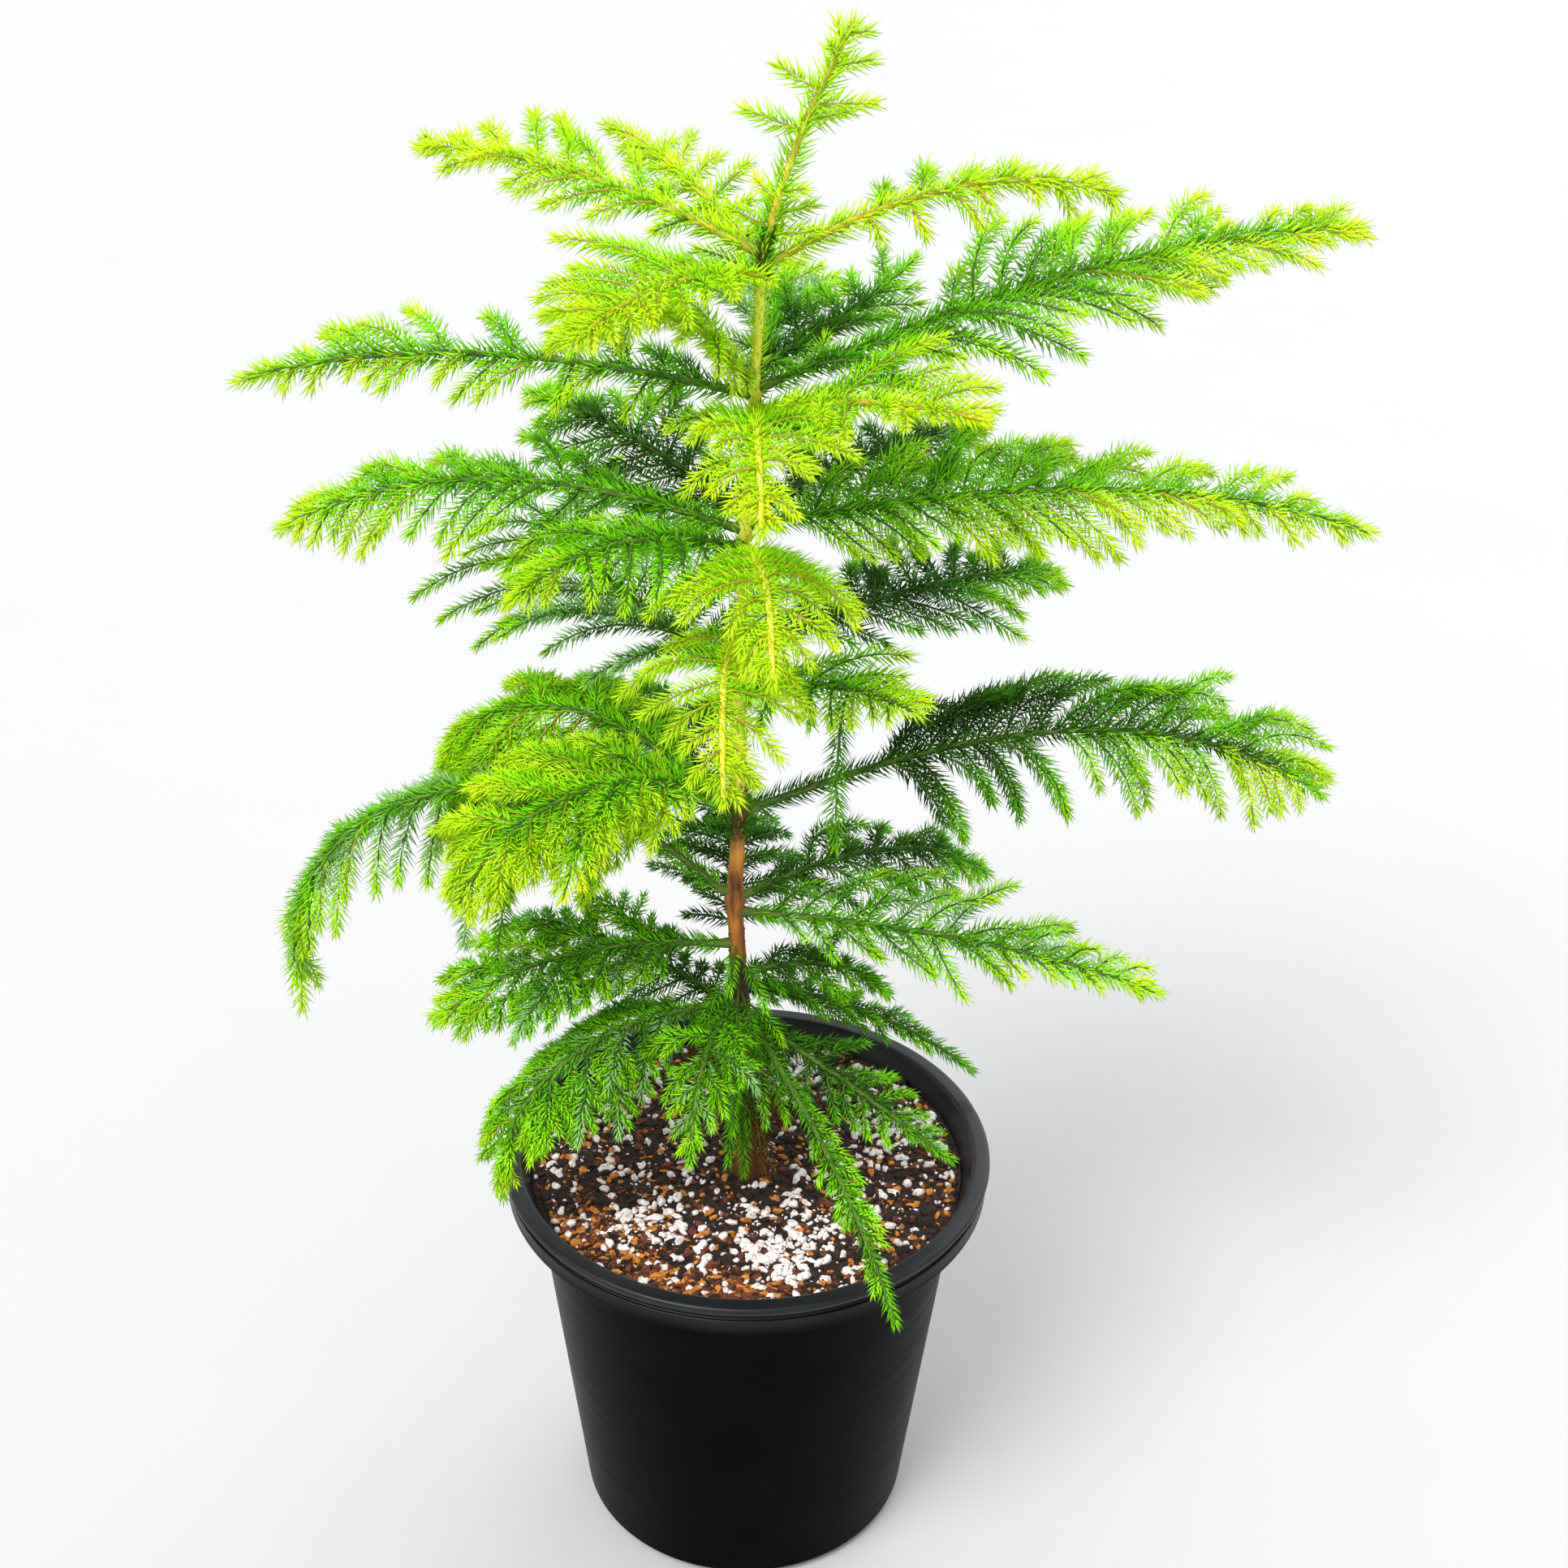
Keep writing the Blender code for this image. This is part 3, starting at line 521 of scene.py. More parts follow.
def add_mix(material, share, first, second, blend="MIX"):
    """Two colours blended by a share, which may be a number."""
    mix = material.node_tree.nodes.new("ShaderNodeMix")
    mix.data_type = "RGBA"
    mix.blend_type = blend
    if isinstance(share, float):
        mix.inputs["Factor"].default_value = share
    else:
        material.node_tree.links.new(share, mix.inputs["Factor"])
    material.node_tree.links.new(first, mix.inputs["A"])
    material.node_tree.links.new(second, mix.inputs["B"])
    return mix.outputs["Result"]


def add_bump(material, shader, height, distance, strength=0.6):
    bump = material.node_tree.nodes.new("ShaderNodeBump")
    bump.inputs["Distance"].default_value = distance
    bump.inputs["Strength"].default_value = strength
    material.node_tree.links.new(height, bump.inputs["Height"])
    material.node_tree.links.new(bump.outputs["Normal"], shader.inputs["Normal"])


def scaled(colour, factor):
    return tuple(min(1.0, channel * factor) for channel in colour)


def needle_material(tone):
    colour = TONES[tone]
    material, shader, place = start_material("needles_" + tone, 0.5)
    links = material.node_tree.links
    shader.inputs["Specular IOR Level"].default_value = 0.07
    patches = add_noise(material, place, 90.0, 2.0)
    stops = ((0.30, scaled(colour, 0.72)), (0.50, colour), (0.72, scaled(colour, 1.35)))
    links.new(add_ramp(material, patches, *stops), shader.inputs["Base Color"])
    links.new(add_range(material, add_noise(material, place, 400.0), 0.38, 0.62), shader.inputs["Roughness"])
    return material


def twig_material(name, colours):
    material, shader, place = start_material(name, 0.65)
    links = material.node_tree.links
    patches = add_noise(material, place, 140.0, 4.0)
    stops = tuple(zip((0.30, 0.50, 0.70), colours))
    links.new(add_ramp(material, patches, *stops), shader.inputs["Base Color"])
    add_bump(material, shader, add_noise(material, place, 1800.0), 0.0001)
    return material


def bark_painted_shade_and_tint(material, place):
    """White, with painted shade at the foot and at some whorls, greener at the top, to multiply the bark with."""
    foot, tip = TRUNK_LINE[0][0], TRUNK_LINE[-1][0]
    stops = [(0.0, BARK_PAINTED_SHADE), (FOOT_REACH, BARK_CLEAR)]
    for height, reach in DARK_BANDS:
        start, middle, end = [(h - foot) / (tip - foot) for h in (height - reach, height, height + reach)]
        core = (end - start) / 6
        stops += [(start, BARK_CLEAR), (middle - core, BARK_PAINTED_SHADE), (middle + core, BARK_PAINTED_SHADE), (end, BARK_CLEAR)]
    stops.append((1.0, BARK_AT_TOP))
    return add_ramp(material, add_height(material, place, foot, tip), *stops)


def bark_material():
    material, shader, place = start_material("bark", 0.75)
    links = material.node_tree.links
    streaks = add_noise(material, place, 260.0, 6.0, (1.0, 1.0, 0.22))
    old_stops = (
        (0.30, (0.050, 0.014, 0.003)),
        (0.44, (0.240, 0.072, 0.008)),
        (0.56, (0.480, 0.170, 0.018)),
        (0.74, (0.700, 0.330, 0.045)),
    )
    young_stops = ((0.30, (0.660, 0.460, 0.026)), (0.50, (0.940, 0.780, 0.065)), (0.72, (0.990, 0.930, 0.190)))
    old = add_ramp(material, streaks, *old_stops)
    young = add_ramp(material, streaks, *young_stops)
    colour = add_mix(material, add_height(material, place, *GOLDEN_FROM), old, young)
    # Multiplied by the painted shade at the foot and the whorls, and by the greener tint at the top
    colour = add_mix(material, 1.0, colour, bark_painted_shade_and_tint(material, place), "MULTIPLY")
    links.new(colour, shader.inputs["Base Color"])
    links.new(add_range(material, streaks, 0.62, 0.88), shader.inputs["Roughness"])
    add_bump(material, shader, add_noise(material, place, 1500.0, 5.0, (1.0, 1.0, 0.35)), 0.0002)
    return material


def pot_material():
    """Black moulded plastic, with fine grain and faint turning marks, and a painted highlight on the collar and lip."""
    material, shader, place = start_material("pot_plastic", 0.36)
    links = material.node_tree.links
    dust = add_noise(material, place, 35.0, 6.0)
    body = add_ramp(material, dust, (0.40, (0.0004, 0.0004, 0.0006)), (0.80, (0.0020, 0.0022, 0.0028)))
    # The lip's paler colour, blended in from the collar up, is a painted highlight.
    lip = add_ramp(material, dust, (0.35, (0.0040, 0.0044, 0.0060)), (0.70, (0.0130, 0.0140, 0.0180)))
    rise = (POT_BODY_TOP, LIP_BOTTOM)
    links.new(add_mix(material, add_height(material, place, *rise), body, lip), shader.inputs["Base Color"])
    links.new(add_height(material, place, *rise, *POT_SHINE), shader.inputs["Specular IOR Level"])
    rings = add_noise(material, place, 90.0, 4.0, (0.15, 0.15, 6.0))
    links.new(add_range(material, rings, 0.26, 0.46), shader.inputs["Roughness"])
    add_bump(material, shader, add_noise(material, place, 2600.0, 2.0), 0.00005, 0.35)
    return material


def soil_material():
    material, shader, place = start_material("soil_bed", 0.95)
    links = material.node_tree.links
    crumbs = add_noise(material, place, 500.0, 6.0)
    stops = ((0.35, (0.006, 0.003, 0.002)), (0.55, (0.024, 0.009, 0.004)), (0.75, (0.100, 0.038, 0.010)))
    links.new(add_ramp(material, crumbs, *stops), shader.inputs["Base Color"])
    add_bump(material, shader, crumbs, 0.0008, 1.0)
    return material


def bit_material(name, colour):
    material, shader, place = start_material(name, 0.85)
    links = material.node_tree.links
    fibre = add_noise(material, place, 700.0, 4.0)
    stops = ((0.32, scaled(colour, 0.45)), (0.52, colour), (0.74, scaled(colour, 1.7)))
    links.new(add_ramp(material, fibre, *stops), shader.inputs["Base Color"])
    add_bump(material, shader, add_noise(material, place, 2500.0), 0.0002)
    return material


def perlite_material():
    material, shader, place = start_material("perlite", 0.9)
    links = material.node_tree.links
    pores = add_noise(material, place, 900.0, 4.0)
    stops = ((0.30, (0.46, 0.34, 0.28)), (0.46, (0.80, 0.72, 0.70)), (0.62, (0.98, 0.94, 0.97)))
    links.new(add_ramp(material, pores, *stops), shader.inputs["Base Color"])
    add_bump(material, shader, pores, 0.0003)
    return material


def floor_material():
    material, shader, place = start_material("floor", 0.7)
    grain = add_noise(material, place, 6.0)
    stops = ((0.3, (0.510, 0.510, 0.513)), (0.7, (0.518, 0.518, 0.521)))
    material.node_tree.links.new(add_ramp(material, grain, *stops), shader.inputs["Base Color"])
    return material


# Growth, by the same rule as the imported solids


def trunk_point(height):
    heights = [h for h, lean in TRUNK_LINE]
    leans = [lean for h, lean in TRUNK_LINE]
    return np.array([np.interp(height, heights, leans), 0.0, height])


def trunk_radius(height):
    foot = TRUNK_LINE[0][0]
    share = (height - foot) / (TRUNK_LINE[-1][0] - foot)
    flare = FLARE_RADIUS * math.exp(-(height - foot) / FLARE_HEIGHT)
    return TRUNK_FOOT_RADIUS + (TRUNK_TIP_RADIUS - TRUNK_FOOT_RADIUS) * share + flare


def arc(start, azimuth, swing, length, rise, droop):
    """Points every ARC_STEP or so along a limb that sets out from start and bends over."""
    steps = max(4, round(length / ARC_STEP))
    points = [np.array(start, float)]
    for step in range(steps):
        share = (step + 0.5) / steps
        turn = math.radians(azimuth + swing * share)
        slope = math.radians(rise - droop * share ** ARC_POWER)
        heading = np.array([math.cos(slope) * math.cos(turn), math.cos(slope) * math.sin(turn), math.sin(slope)])
        points.append(points[-1] + heading * (length / steps))
    return np.array(points)


def bough_line(bough):
    """The bough's centre line from its collar on the trunk to the tip of its foliage."""
    turn = math.radians(bough.azimuth)
    out = np.array([math.cos(turn), math.sin(turn), 0.0])
    radius = trunk_radius(bough.height)
    bend = trunk_point(bough.height) + out * (radius + GAP + COLLAR_LENGTH)
    length = bough.length - radius - GAP - COLLAR_LENGTH
    rest = arc(bend, bough.azimuth, bough.swing, length, bough.rise, bough.droop)[:-1]
    return np.vstack([bend - out * (COLLAR_LENGTH + GAP + radius * 0.5), rest])


def along(points, shares):
    """Points at shares of a polyline's length, and the headings there."""
    steps = np.linalg.norm(np.diff(points, axis=0), axis=1)
    reach = np.concatenate([[0.0], np.cumsum(steps)])
    reach /= reach[-1]
    places = np.stack([np.interp(shares, reach, points[:, axis]) for axis in range(3)], axis=-1)
    index = np.clip(np.searchsorted(reach, shares, side="right") - 1, 0, len(points) - 2)
    return places, unit(points[index + 1] - points[index])


def length_of(points):
    return float(np.linalg.norm(np.diff(points, axis=0), axis=1).sum())


def sideways(heading):
    """The level direction to the right of a heading; a steep heading takes +Y."""
    flat = np.array([heading[1], -heading[0], 0.0])
    size = np.linalg.norm(flat)
    return flat / size if size > 0.2 else np.array([0.0, 1.0, 0.0])


def twig_length(bough, share):
    """The length that a branchlet has at a share of its bough's leafy length."""
    at_tip = LENGTH_AT_TIP_OF.get(bough.name, LENGTH_AT_TIP)
    power = SHORTENING_OF.get(bough.name, SHORTENING_POWER)
    at_start = LENGTH_AT_START_OF.get(bough.name, LENGTH_AT_START)
    grown = at_start + (1.0 - at_start) * min(1.0, share / LONGEST_AT)
    young = max(0.0, (share - LONGEST_AT) / (1.0 - LONGEST_AT))
    return bough.spray * grown * (1.0 - (1.0 - at_tip) * young ** power)


def twig_points(root, forward, side, upper, angle, sweep, lift, droop, length):
    """A branchlet that sets out sideways, sweeps forward and bends down towards its tip."""
    points = [root]
    for step in range(TWIG_POINTS - 1):
        share = (step + 0.5) / (TWIG_POINTS - 1)
        turn = math.radians(angle + TWIG_SWEEP + (sweep - TWIG_SWEEP) * share)
        heading = forward * math.cos(turn) + side * math.sin(turn) + upper * lift * (1.2 - 0.8 * share)
        heading[2] -= droop * (TWIG_DROOP_AT_ROOT + TWIG_DROOP_GAIN * share ** 1.4)
        points.append(points[-1] + heading / np.linalg.norm(heading) * length / (TWIG_POINTS - 1))
    return np.array(points)


def clear_of_pot(points):
    across = np.hypot(points[:, 0], points[:, 1])
    inside = across < LIP_INNER_RADIUS - POT_CLEARANCE
    too_low = np.where(inside, SOIL_AT_WALL + SOIL_BUMP, POT_HEIGHT) + POT_CLEARANCE
    return bool((~(across < LIP_RADIUS + POT_CLEARANCE) | (points[:, 2] > too_low)).all())


def clear_of_trunk(points):
    for point in points:
        height = min(point[2], TRUNK_LINE[-1][0])
        if np.linalg.norm(point - trunk_point(height)) < trunk_radius(height) + LIMB_CLEARANCE:
            return False
    return True


def keeps_its_space(points, own, lines):
    """True where no point lies much nearer to another bough than to its own."""
    nearest = np.array([np.linalg.norm(points[:, None] - line[None], axis=2).min(axis=1) for line in lines])
    others = np.delete(nearest, own, axis=0).min(axis=0)
    overlap = SPACE_OVERLAP_OF.get(BOUGHS[own].name, SPACE_OVERLAP)
    return bool((nearest[own] < others + overlap).all())


def tier_of(bough):
    return TIERS.get(bough.name, TIERS[bough.name[0]])


def twig_frame(line, share, rank):
    """Where a branchlet leaves a bough: its root, the bough's heading, the ways aside and up."""
    places, headings = along(line, np.array([share]))
    side = sideways(headings[0]) * rank
    upper = unit(np.cross(headings[0], side))
    return places[0], headings[0], side, upper if upper[2] > 0 else -upper


def twig_bend(bough, grown, near, rng):
    """A branchlet's angle off its bough, sweep, lift and bending down, and its full length."""
    tier = tier_of(bough)
    angle = TWIG_FORWARD[0] + (TWIG_FORWARD[1] - TWIG_FORWARD[0]) * grown + FORWARD_OF.get(bough.name, 0.0)
    angle += rng.uniform(-TWIG_FORWARD_VARIES, TWIG_FORWARD_VARIES)
    lift = tier.lift + rng.uniform(-TWIG_LIFT_VARIES, TWIG_LIFT_VARIES)
    droop = tier.droop * (TWIG_DROOP + TWIG_DROOP_PER_DEGREE * max(0.0, bough.droop))
    droop *= rng.uniform(*TWIG_DROOP_VARIES)
    sweep = tier.sweep + rng.uniform(-TWIG_SWEEP_VARIES, TWIG_SWEEP_VARIES)
    length = twig_length(bough, grown) * rng.uniform(*TWIG_LENGTH_VARIES)
    if near:
        near_length, near_droop, lost_lift = tier.near
        length *= near_length
        droop *= near_droop
        lift -= lost_lift
    return angle, sweep, lift, droop, length


def needled_twig(bough, points, grown, near, rng):
    """A branchlet with the tones of its needles, lighter towards the bough's tip."""
    outward = OUTWARD_TONE_OF.get(bough.name, OUTWARD_TONE)
    # The bough's shade and the darkening towards the trunk are partly painted shade and light
    tone = SHADE_TONE[bough.shade] + rng.uniform(-0.8, 0.8) + outward * (grown - 0.4)
    # Painted light on the side towards the front
    tone += NEAR_PAINTED_LIGHT_OF.get(bough.name, 0.0) * near
    tip = TIP_TONE * TIP_TONE_SHARE.get(bough.name[0], 1.0) * rng.uniform(0.7, 1.2)
    cast = "silver" if rng.random() < PAINTED_SHEEN_SHARE.get(bough.name, 0.0) else ""
    bright = BRIGHT_REACH_OF.get(bough.name, BRIGHT_REACH)
    return Twig(points, TWIG_RADIUS, tone, tip, bright, 0.04, tier_of(bough).needle, cast)


def bough_twigs(bough, own, lines, rng):
    """The branchlets of one bough, in two ranks, alternating."""
    line = lines[own]
    size = length_of(line)
    spacing = tier_of(bough).step * SPACING_FACTOR.get(bough.name, 1.0)
    share = (START_OF.get(bough.name, bough.bare) + 0.003) / size
    last = 1.0 - 0.004 / size
    leafy = share
    rank = rng.choice((-1, 1))
    while share < last:
        grown = (share - leafy) / (1.0 - leafy)
        root, forward, side, upper = twig_frame(line, share, rank)
        near = side[1] < NEAR_SIDE
        *bend, length = twig_bend(bough, grown, near, rng)
        kept = rng.random() < (NEAR_KEPT_OF.get(bough.name, 1.0) if near else tier_of(bough).kept)
        for shorter in SHORTER if kept else ():
            reach = length * shorter - TIP_NEEDLE_REACH
            if reach < SHORTEST_TWIG:
                break
            points = twig_points(root, forward, side, upper, *bend, reach)
            test = points[2:]
            if clear_of_pot(test) and clear_of_trunk(test) and keeps_its_space(test, own, lines):
                twig = needled_twig(bough, points, grown, near, rng)
                yield twig
                if bough.name in DIVIDED:
                    yield from sprigs(twig, bend[-1], own, lines, rng)
                break
        spread = 1.0 + SPREADING_OF.get(bough.name, 0.0) * grown ** 2
        share += spacing * spread / 2 / size * rng.uniform(*TWIG_STEP_VARIES)
        rank = -rank


def hanging_twigs(lines, rng):
    for name, share, length in HANGING_TWIGS:
        bough, line = next(pair for pair in zip(BOUGHS, lines) if pair[0].name == name)
        root, forward, side, upper = twig_frame(line, share, 1)
        side = -side if side[1] > 0 else side
        bend = (HANGING_ANGLE, HANGING_SWEEP, 0.0, HANGING_DROOP)
        points = twig_points(root, forward, side, upper, *bend, length - TIP_NEEDLE_REACH)
        twig = needled_twig(bough, points, share, False, rng)
        yield twig._replace(tone=twig.tone - HANGING_SHADE, tip=twig.tip * 0.5)


def sprigs(twig, droop, own, lines, rng):
    """Short side twigs of a branchlet, in two ranks."""
    size = length_of(twig.points)
    rank = rng.choice((-1, 1))
    place = SPRIG_STEP * rng.uniform(0.8, 1.2)
    while size - place > SPRIG_STEP:
        roots, headings = along(twig.points, np.array([place / size]))
        side = sideways(headings[0]) * rank
        upper = unit(np.cross(headings[0], side))
        upper = upper if upper[2] > 0 else -upper
        reach = min(SPRIG_LONGEST, SPRIG_SHARE * (size - place) + 0.003) * rng.uniform(0.8, 1.1)
        points = twig_points(roots[0], headings[0], side, upper, SPRIG_ANGLE, -12.0, 0.15, droop * 0.7, reach)
        if clear_of_pot(points) and clear_of_trunk(points) and keeps_its_space(points, own, lines):
            tone = twig.tone + rng.uniform(-0.3, 0.5)
            yield Twig(points, TWIG_RADIUS, tone, twig.tip, BRIGHT_REACH * 0.6, 0.0, twig.needle * 0.9)
        place += SPRIG_STEP / 2 * rng.uniform(0.85, 1.2)
        rank = -rank


def leader_line():
    foot = trunk_point(TRUNK_LINE[-1][0])
    return arc(foot, 0.0, 0.0, LEADER_LENGTH, LEADER_RISE, 0.0)


def upper_trunk(start, count):
    return np.array([trunk_point(height) for height in np.linspace(start, TRUNK_LINE[-1][0], count)])


def shoot_points(root, forward, azimuth, angle, droop, length):
    """A twig that leaves an upright stem at an angle, towards an azimuth."""
    turn = math.radians(azimuth)
    side = np.array([math.cos(turn), math.sin(turn), 0.0])
    side = unit(side - forward * (side @ forward))
    return twig_points(root, forward, side, forward, angle, -10.0, 0.0, droop, length - TIP_NEEDLE_REACH)


def leader_twigs(rng):
    line = np.vstack([upper_trunk(LEADER_FROM, 8)[:-1], leader_line()])
    for share, azimuth, angle, length in LEADER_TWIGS:
        places, headings = along(line, np.array([share]))
        points = shoot_points(places[0], headings[0], azimuth, angle, 0.12, length)
        tone = LEADER_TWIG_TONE + rng.uniform(-0.4, 0.4)
        yield Twig(points, TWIG_RADIUS, tone, 1.6, BRIGHT_REACH, 0.0, LEADER_NEEDLE)


def trunk_shoots(rng):
    for height, azimuth, length, cast in TRUNK_SHOOTS:
        upright = np.array([0.0, 0.0, 1.0])
        points = shoot_points(trunk_point(height), upright, azimuth, SHOOT_ANGLE, SHOOT_DROOP, length)
        if clear_of_pot(points):
            tone = SHADE_TONE["dull"] + rng.uniform(-1.2, 0.3)
            yield Twig(points, TWIG_RADIUS, tone, 1.6, BRIGHT_REACH, 0.25, TIERS["1"].needle, cast)


def grow():
    """Every bough's line, and every twig that carries needles."""
    rng = random.Random(SEED)
    lines = [bough_line(bough) for bough in BOUGHS]
    branchlets = []
    stems = []
    for own, bough in enumerate(BOUGHS):
        branchlets += bough_twigs(bough, own, lines, random.Random(SEED * 100 + own))
        size = length_of(lines[own])
        tone = STEM_TONE[bough.shade]
        radii = (BOUGH_RADIUS, BOUGH_TIP_RADIUS)
        first = STEM_NEEDLES_FROM / size
        needle = tier_of(bough).needle
        tip = (TIP_TONE + 1.0) * TIP_TONE_SHARE.get(bough.name[0], 1.0)
        stem = Twig(lines[own], radii, tone, tip, BRIGHT_STEM_REACH, first, needle)
        stems.append(stem._replace(step=STEM_NEEDLE_STEP))
    branchlets += hanging_twigs(lines, rng)
    branchlets += leader_twigs(rng)
    branchlets += trunk_shoots(rng)
    radii = (TRUNK_TIP_RADIUS, BOUGH_TIP_RADIUS)
    stems.append(Twig(leader_line(), radii, 5.2, 1.8, BRIGHT_STEM_REACH, 0.0, 0.0062))
    radii = (trunk_radius(TRUNK_NEEDLES_FROM), TRUNK_TIP_RADIUS)
    line = upper_trunk(TRUNK_NEEDLES_FROM, 12)
    stem = Twig(line, radii, 4.6, 1.2, BRIGHT_STEM_REACH, 0.0, 0.0062)
    stems.append(stem._replace(step=STEM_NEEDLE_STEP))
    for start, end in WHORL_NEEDLES:
        line = np.array([trunk_point(height) for height in np.linspace(start, end, 8)])
        radii = (trunk_radius(start), trunk_radius(end))
        stem = Twig(line, radii, 1.4, 0.0, BRIGHT_STEM_REACH, 0.0, 0.0048)
        stems.append(stem._replace(step=WHORL_NEEDLE_STEP))
    # Lime needles on the young trunk: partly the young growth's colour, partly painted light on the lit stem
    line = np.array([trunk_point(height) for height in np.linspace(GOLDEN_FROM[1], TRUNK_NEEDLES_FROM, 24)])
    radii = (trunk_radius(GOLDEN_FROM[1]), trunk_radius(TRUNK_NEEDLES_FROM))
    stem = Twig(line, radii, 6.0, 0.0, BRIGHT_STEM_REACH, 0.0, 0.0042)
    stems.append(stem._replace(step=TRUNK_NEEDLE_STEP))
    return lines, branchlets, stems


# Needles


def frames(points):
    """Heading and two crosswise directions at each point, which turn no more than they must."""
    headings = unit(np.gradient(points, axis=0))
    start = np.array([0.0, 0.0, 1.0]) if abs(headings[0][2]) < 0.8 else np.array([1.0, 0.0, 0.0])
    crosswise = []
    for heading in headings:
        start = start - heading * (start @ heading)
        start /= np.linalg.norm(start)
        crosswise.append(start)
    first = np.array(crosswise)
    return headings, first, np.cross(headings, first)


def twig_needles(twig, rng):
    """Roots, directions, headings, lengths and tones of a twig's needles, all round it."""
    size = length_of(twig.points)
    count = max(6, int(size * (1.0 - twig.first) / twig.step))
    shares = twig.first + (1.0 - twig.first) * (np.arange(count) + 0.5) / count
    places, headings = along(twig.points, shares)
    knots, first, second = frames(twig.points)
    spread = np.linspace(0.0, 1.0, len(twig.points))
    first = np.stack([np.interp(shares, spread, first[:, axis]) for axis in range(3)], axis=-1)
    first = unit(first - headings * (first * headings).sum(axis=1, keepdims=True))
    second = np.cross(headings, first)
    turns = np.arange(count) * GOLDEN_ANGLE + rng.uniform(0, 6.283) + rng.normal(0, 0.25, count)
    out = first * np.cos(turns)[:, None] + second * np.sin(turns)[:, None]
    to_tip = (1.0 - shares) * size
    near_tip = np.exp(-(to_tip / TIP_CLUSTER) ** 1.5)
    lean = NEEDLE_SPREAD[0] + (NEEDLE_SPREAD[1] - NEEDLE_SPREAD[0]) * near_tip
    lean = np.radians(lean + rng.normal(0, 7, count))
    along_twig = np.cos(lean)[:, None]
    direction = unit(headings * along_twig + out * np.sin(lean)[:, None])
    radius = twig.radii[0] + (twig.radii[1] - twig.radii[0]) * shares
    roots = places + out * radius[:, None] * 0.6
    length = twig.needle * rng.uniform(0.80, 1.12, count) * (1.0 - NEEDLE_SHORTER_AT_TIP * near_tip)
    length *= np.minimum(1.0, 0.7 + shares * size / 0.012)
    fresh = np.clip(1.0 - to_tip / twig.bright, 0.0, 1.0)
    tones = twig.tone + twig.tip * fresh ** 0.8
    tones += 0.35 * rng.normal(0, 1, count)
    return roots, direction, headings, length, tones


def tone_names(tones, cast):
    order = np.clip(np.round(tones), 0, len(TONE_ORDER) - 1).astype(int)
    names = np.array(TONE_ORDER)[order]
    # The pale painted sheen replaces the mid and fresh tones
    if cast == "silver":
        names[np.isin(names, ("mid", "fresh"))] = cast
    if cast == "dead":
        names[:] = cast
    return names


def needles_mesh(name, roots, direction, headings, length):
    """Closed, slightly incurved needles of three sides, six triangles each."""
    count = len(roots)
    reference = np.where(np.abs(direction[:, 2:]) < 0.9, [[0.0, 0.0, 1.0]], [[1.0, 0.0, 0.0]])
    first = unit(np.cross(direction, reference))
    second = np.cross(direction, first)
    widest = roots + direction * (length * NEEDLE_WIDEST_AT)[:, None]
    layers = [roots]
    for corner in range(3):
        turn = math.tau * corner / 3
        layers.append(widest + (first * math.cos(turn) + second * math.sin(turn)) * NEEDLE_RADIUS)
    layers.append(roots + direction * length[:, None] + headings * (length * NEEDLE_INCURVE)[:, None])
    points = np.stack(layers, axis=1).reshape(-1, 3)
    thirds = np.arange(1, 4)
    after = thirds % 3 + 1
    root_faces = np.stack([np.zeros(3, int), after, thirds], axis=1)
    tip_faces = np.stack([thirds, after, np.full(3, 4)], axis=1)
    triangles = np.concatenate([root_faces, tip_faces])
    offsets = (np.arange(count) * len(layers))[:, None, None]
    return mesh_of(name, points, (triangles[None] + offsets).reshape(-1, 3))


def make_needles(twigs, foliage):
    rng = np.random.default_rng(SEED)
    by_tone = {name: [] for name in TONES}
    for twig in twigs:
        *shape, tones = twig_needles(twig, rng)
        names = tone_names(tones, twig.cast)
        for name in set(names):
            chosen = names == name
            by_tone[name].append([array[chosen] for array in shape])
    total = 0
    for name, batches in by_tone.items():
        arrays = [np.concatenate(column) for column in zip(*batches)] if batches else None
        if arrays is None:
            continue
        material = needle_material(name)
        count = len(arrays[0])
        total += count
        parts = math.ceil(count / MOST_NEEDLES_IN_A_PIECE)
        for part in range(parts):
            piece = f"needles_{name}_{part + 1}"
            mesh = needles_mesh(piece, *[array[part::parts] for array in arrays])
            add_piece(piece, mesh, material, SLOT_OF_TONE[name], *foliage)
    print("needles", total)


# Limbs and bark


def tube_arrays(points, radii, sides, relief=None):
    """Points and faces of a closed tube; relief(point, turn) adds to its radius."""
    headings, first, second = frames(points)
    rings = []
    for place, across, up, radius in zip(points, first, second, radii):
        for side in range(sides):
            turn = math.tau * side / sides
            out = across * math.cos(turn) + up * math.sin(turn)
            grown = radius + (relief(place + out * radius, turn) if relief else 0.0)
            rings.append(place + out * grown)
    count = len(points)
    corners = np.array(rings + [points[0], points[-1]])
    around = np.arange(sides)
    after = (around + 1) % sides
    quads = [
        np.stack([ring * sides + around, ring * sides + after, (ring + 1) * sides + after, (ring + 1) * sides + around], axis=1)
        for ring in range(count - 1)
    ]
    foot = np.stack([np.full(sides, count * sides), after, around], axis=1)
    top = (count - 1) * sides
    tip = np.stack([np.full(sides, count * sides + 1), top + around, top + after], axis=1)
    return corners, np.concatenate([foot, tip]), np.concatenate(quads)


def joined_tubes(name, tubes):
    points, triangles, quads, offset = [], [], [], 0
    for corners, threes, fours in tubes:
        points.append(corners)
        triangles.append(threes + offset)
        quads.append(fours + offset)
        offset += len(corners)
    return mesh_of(name, np.concatenate(points), np.concatenate(triangles), np.concatenate(quads))


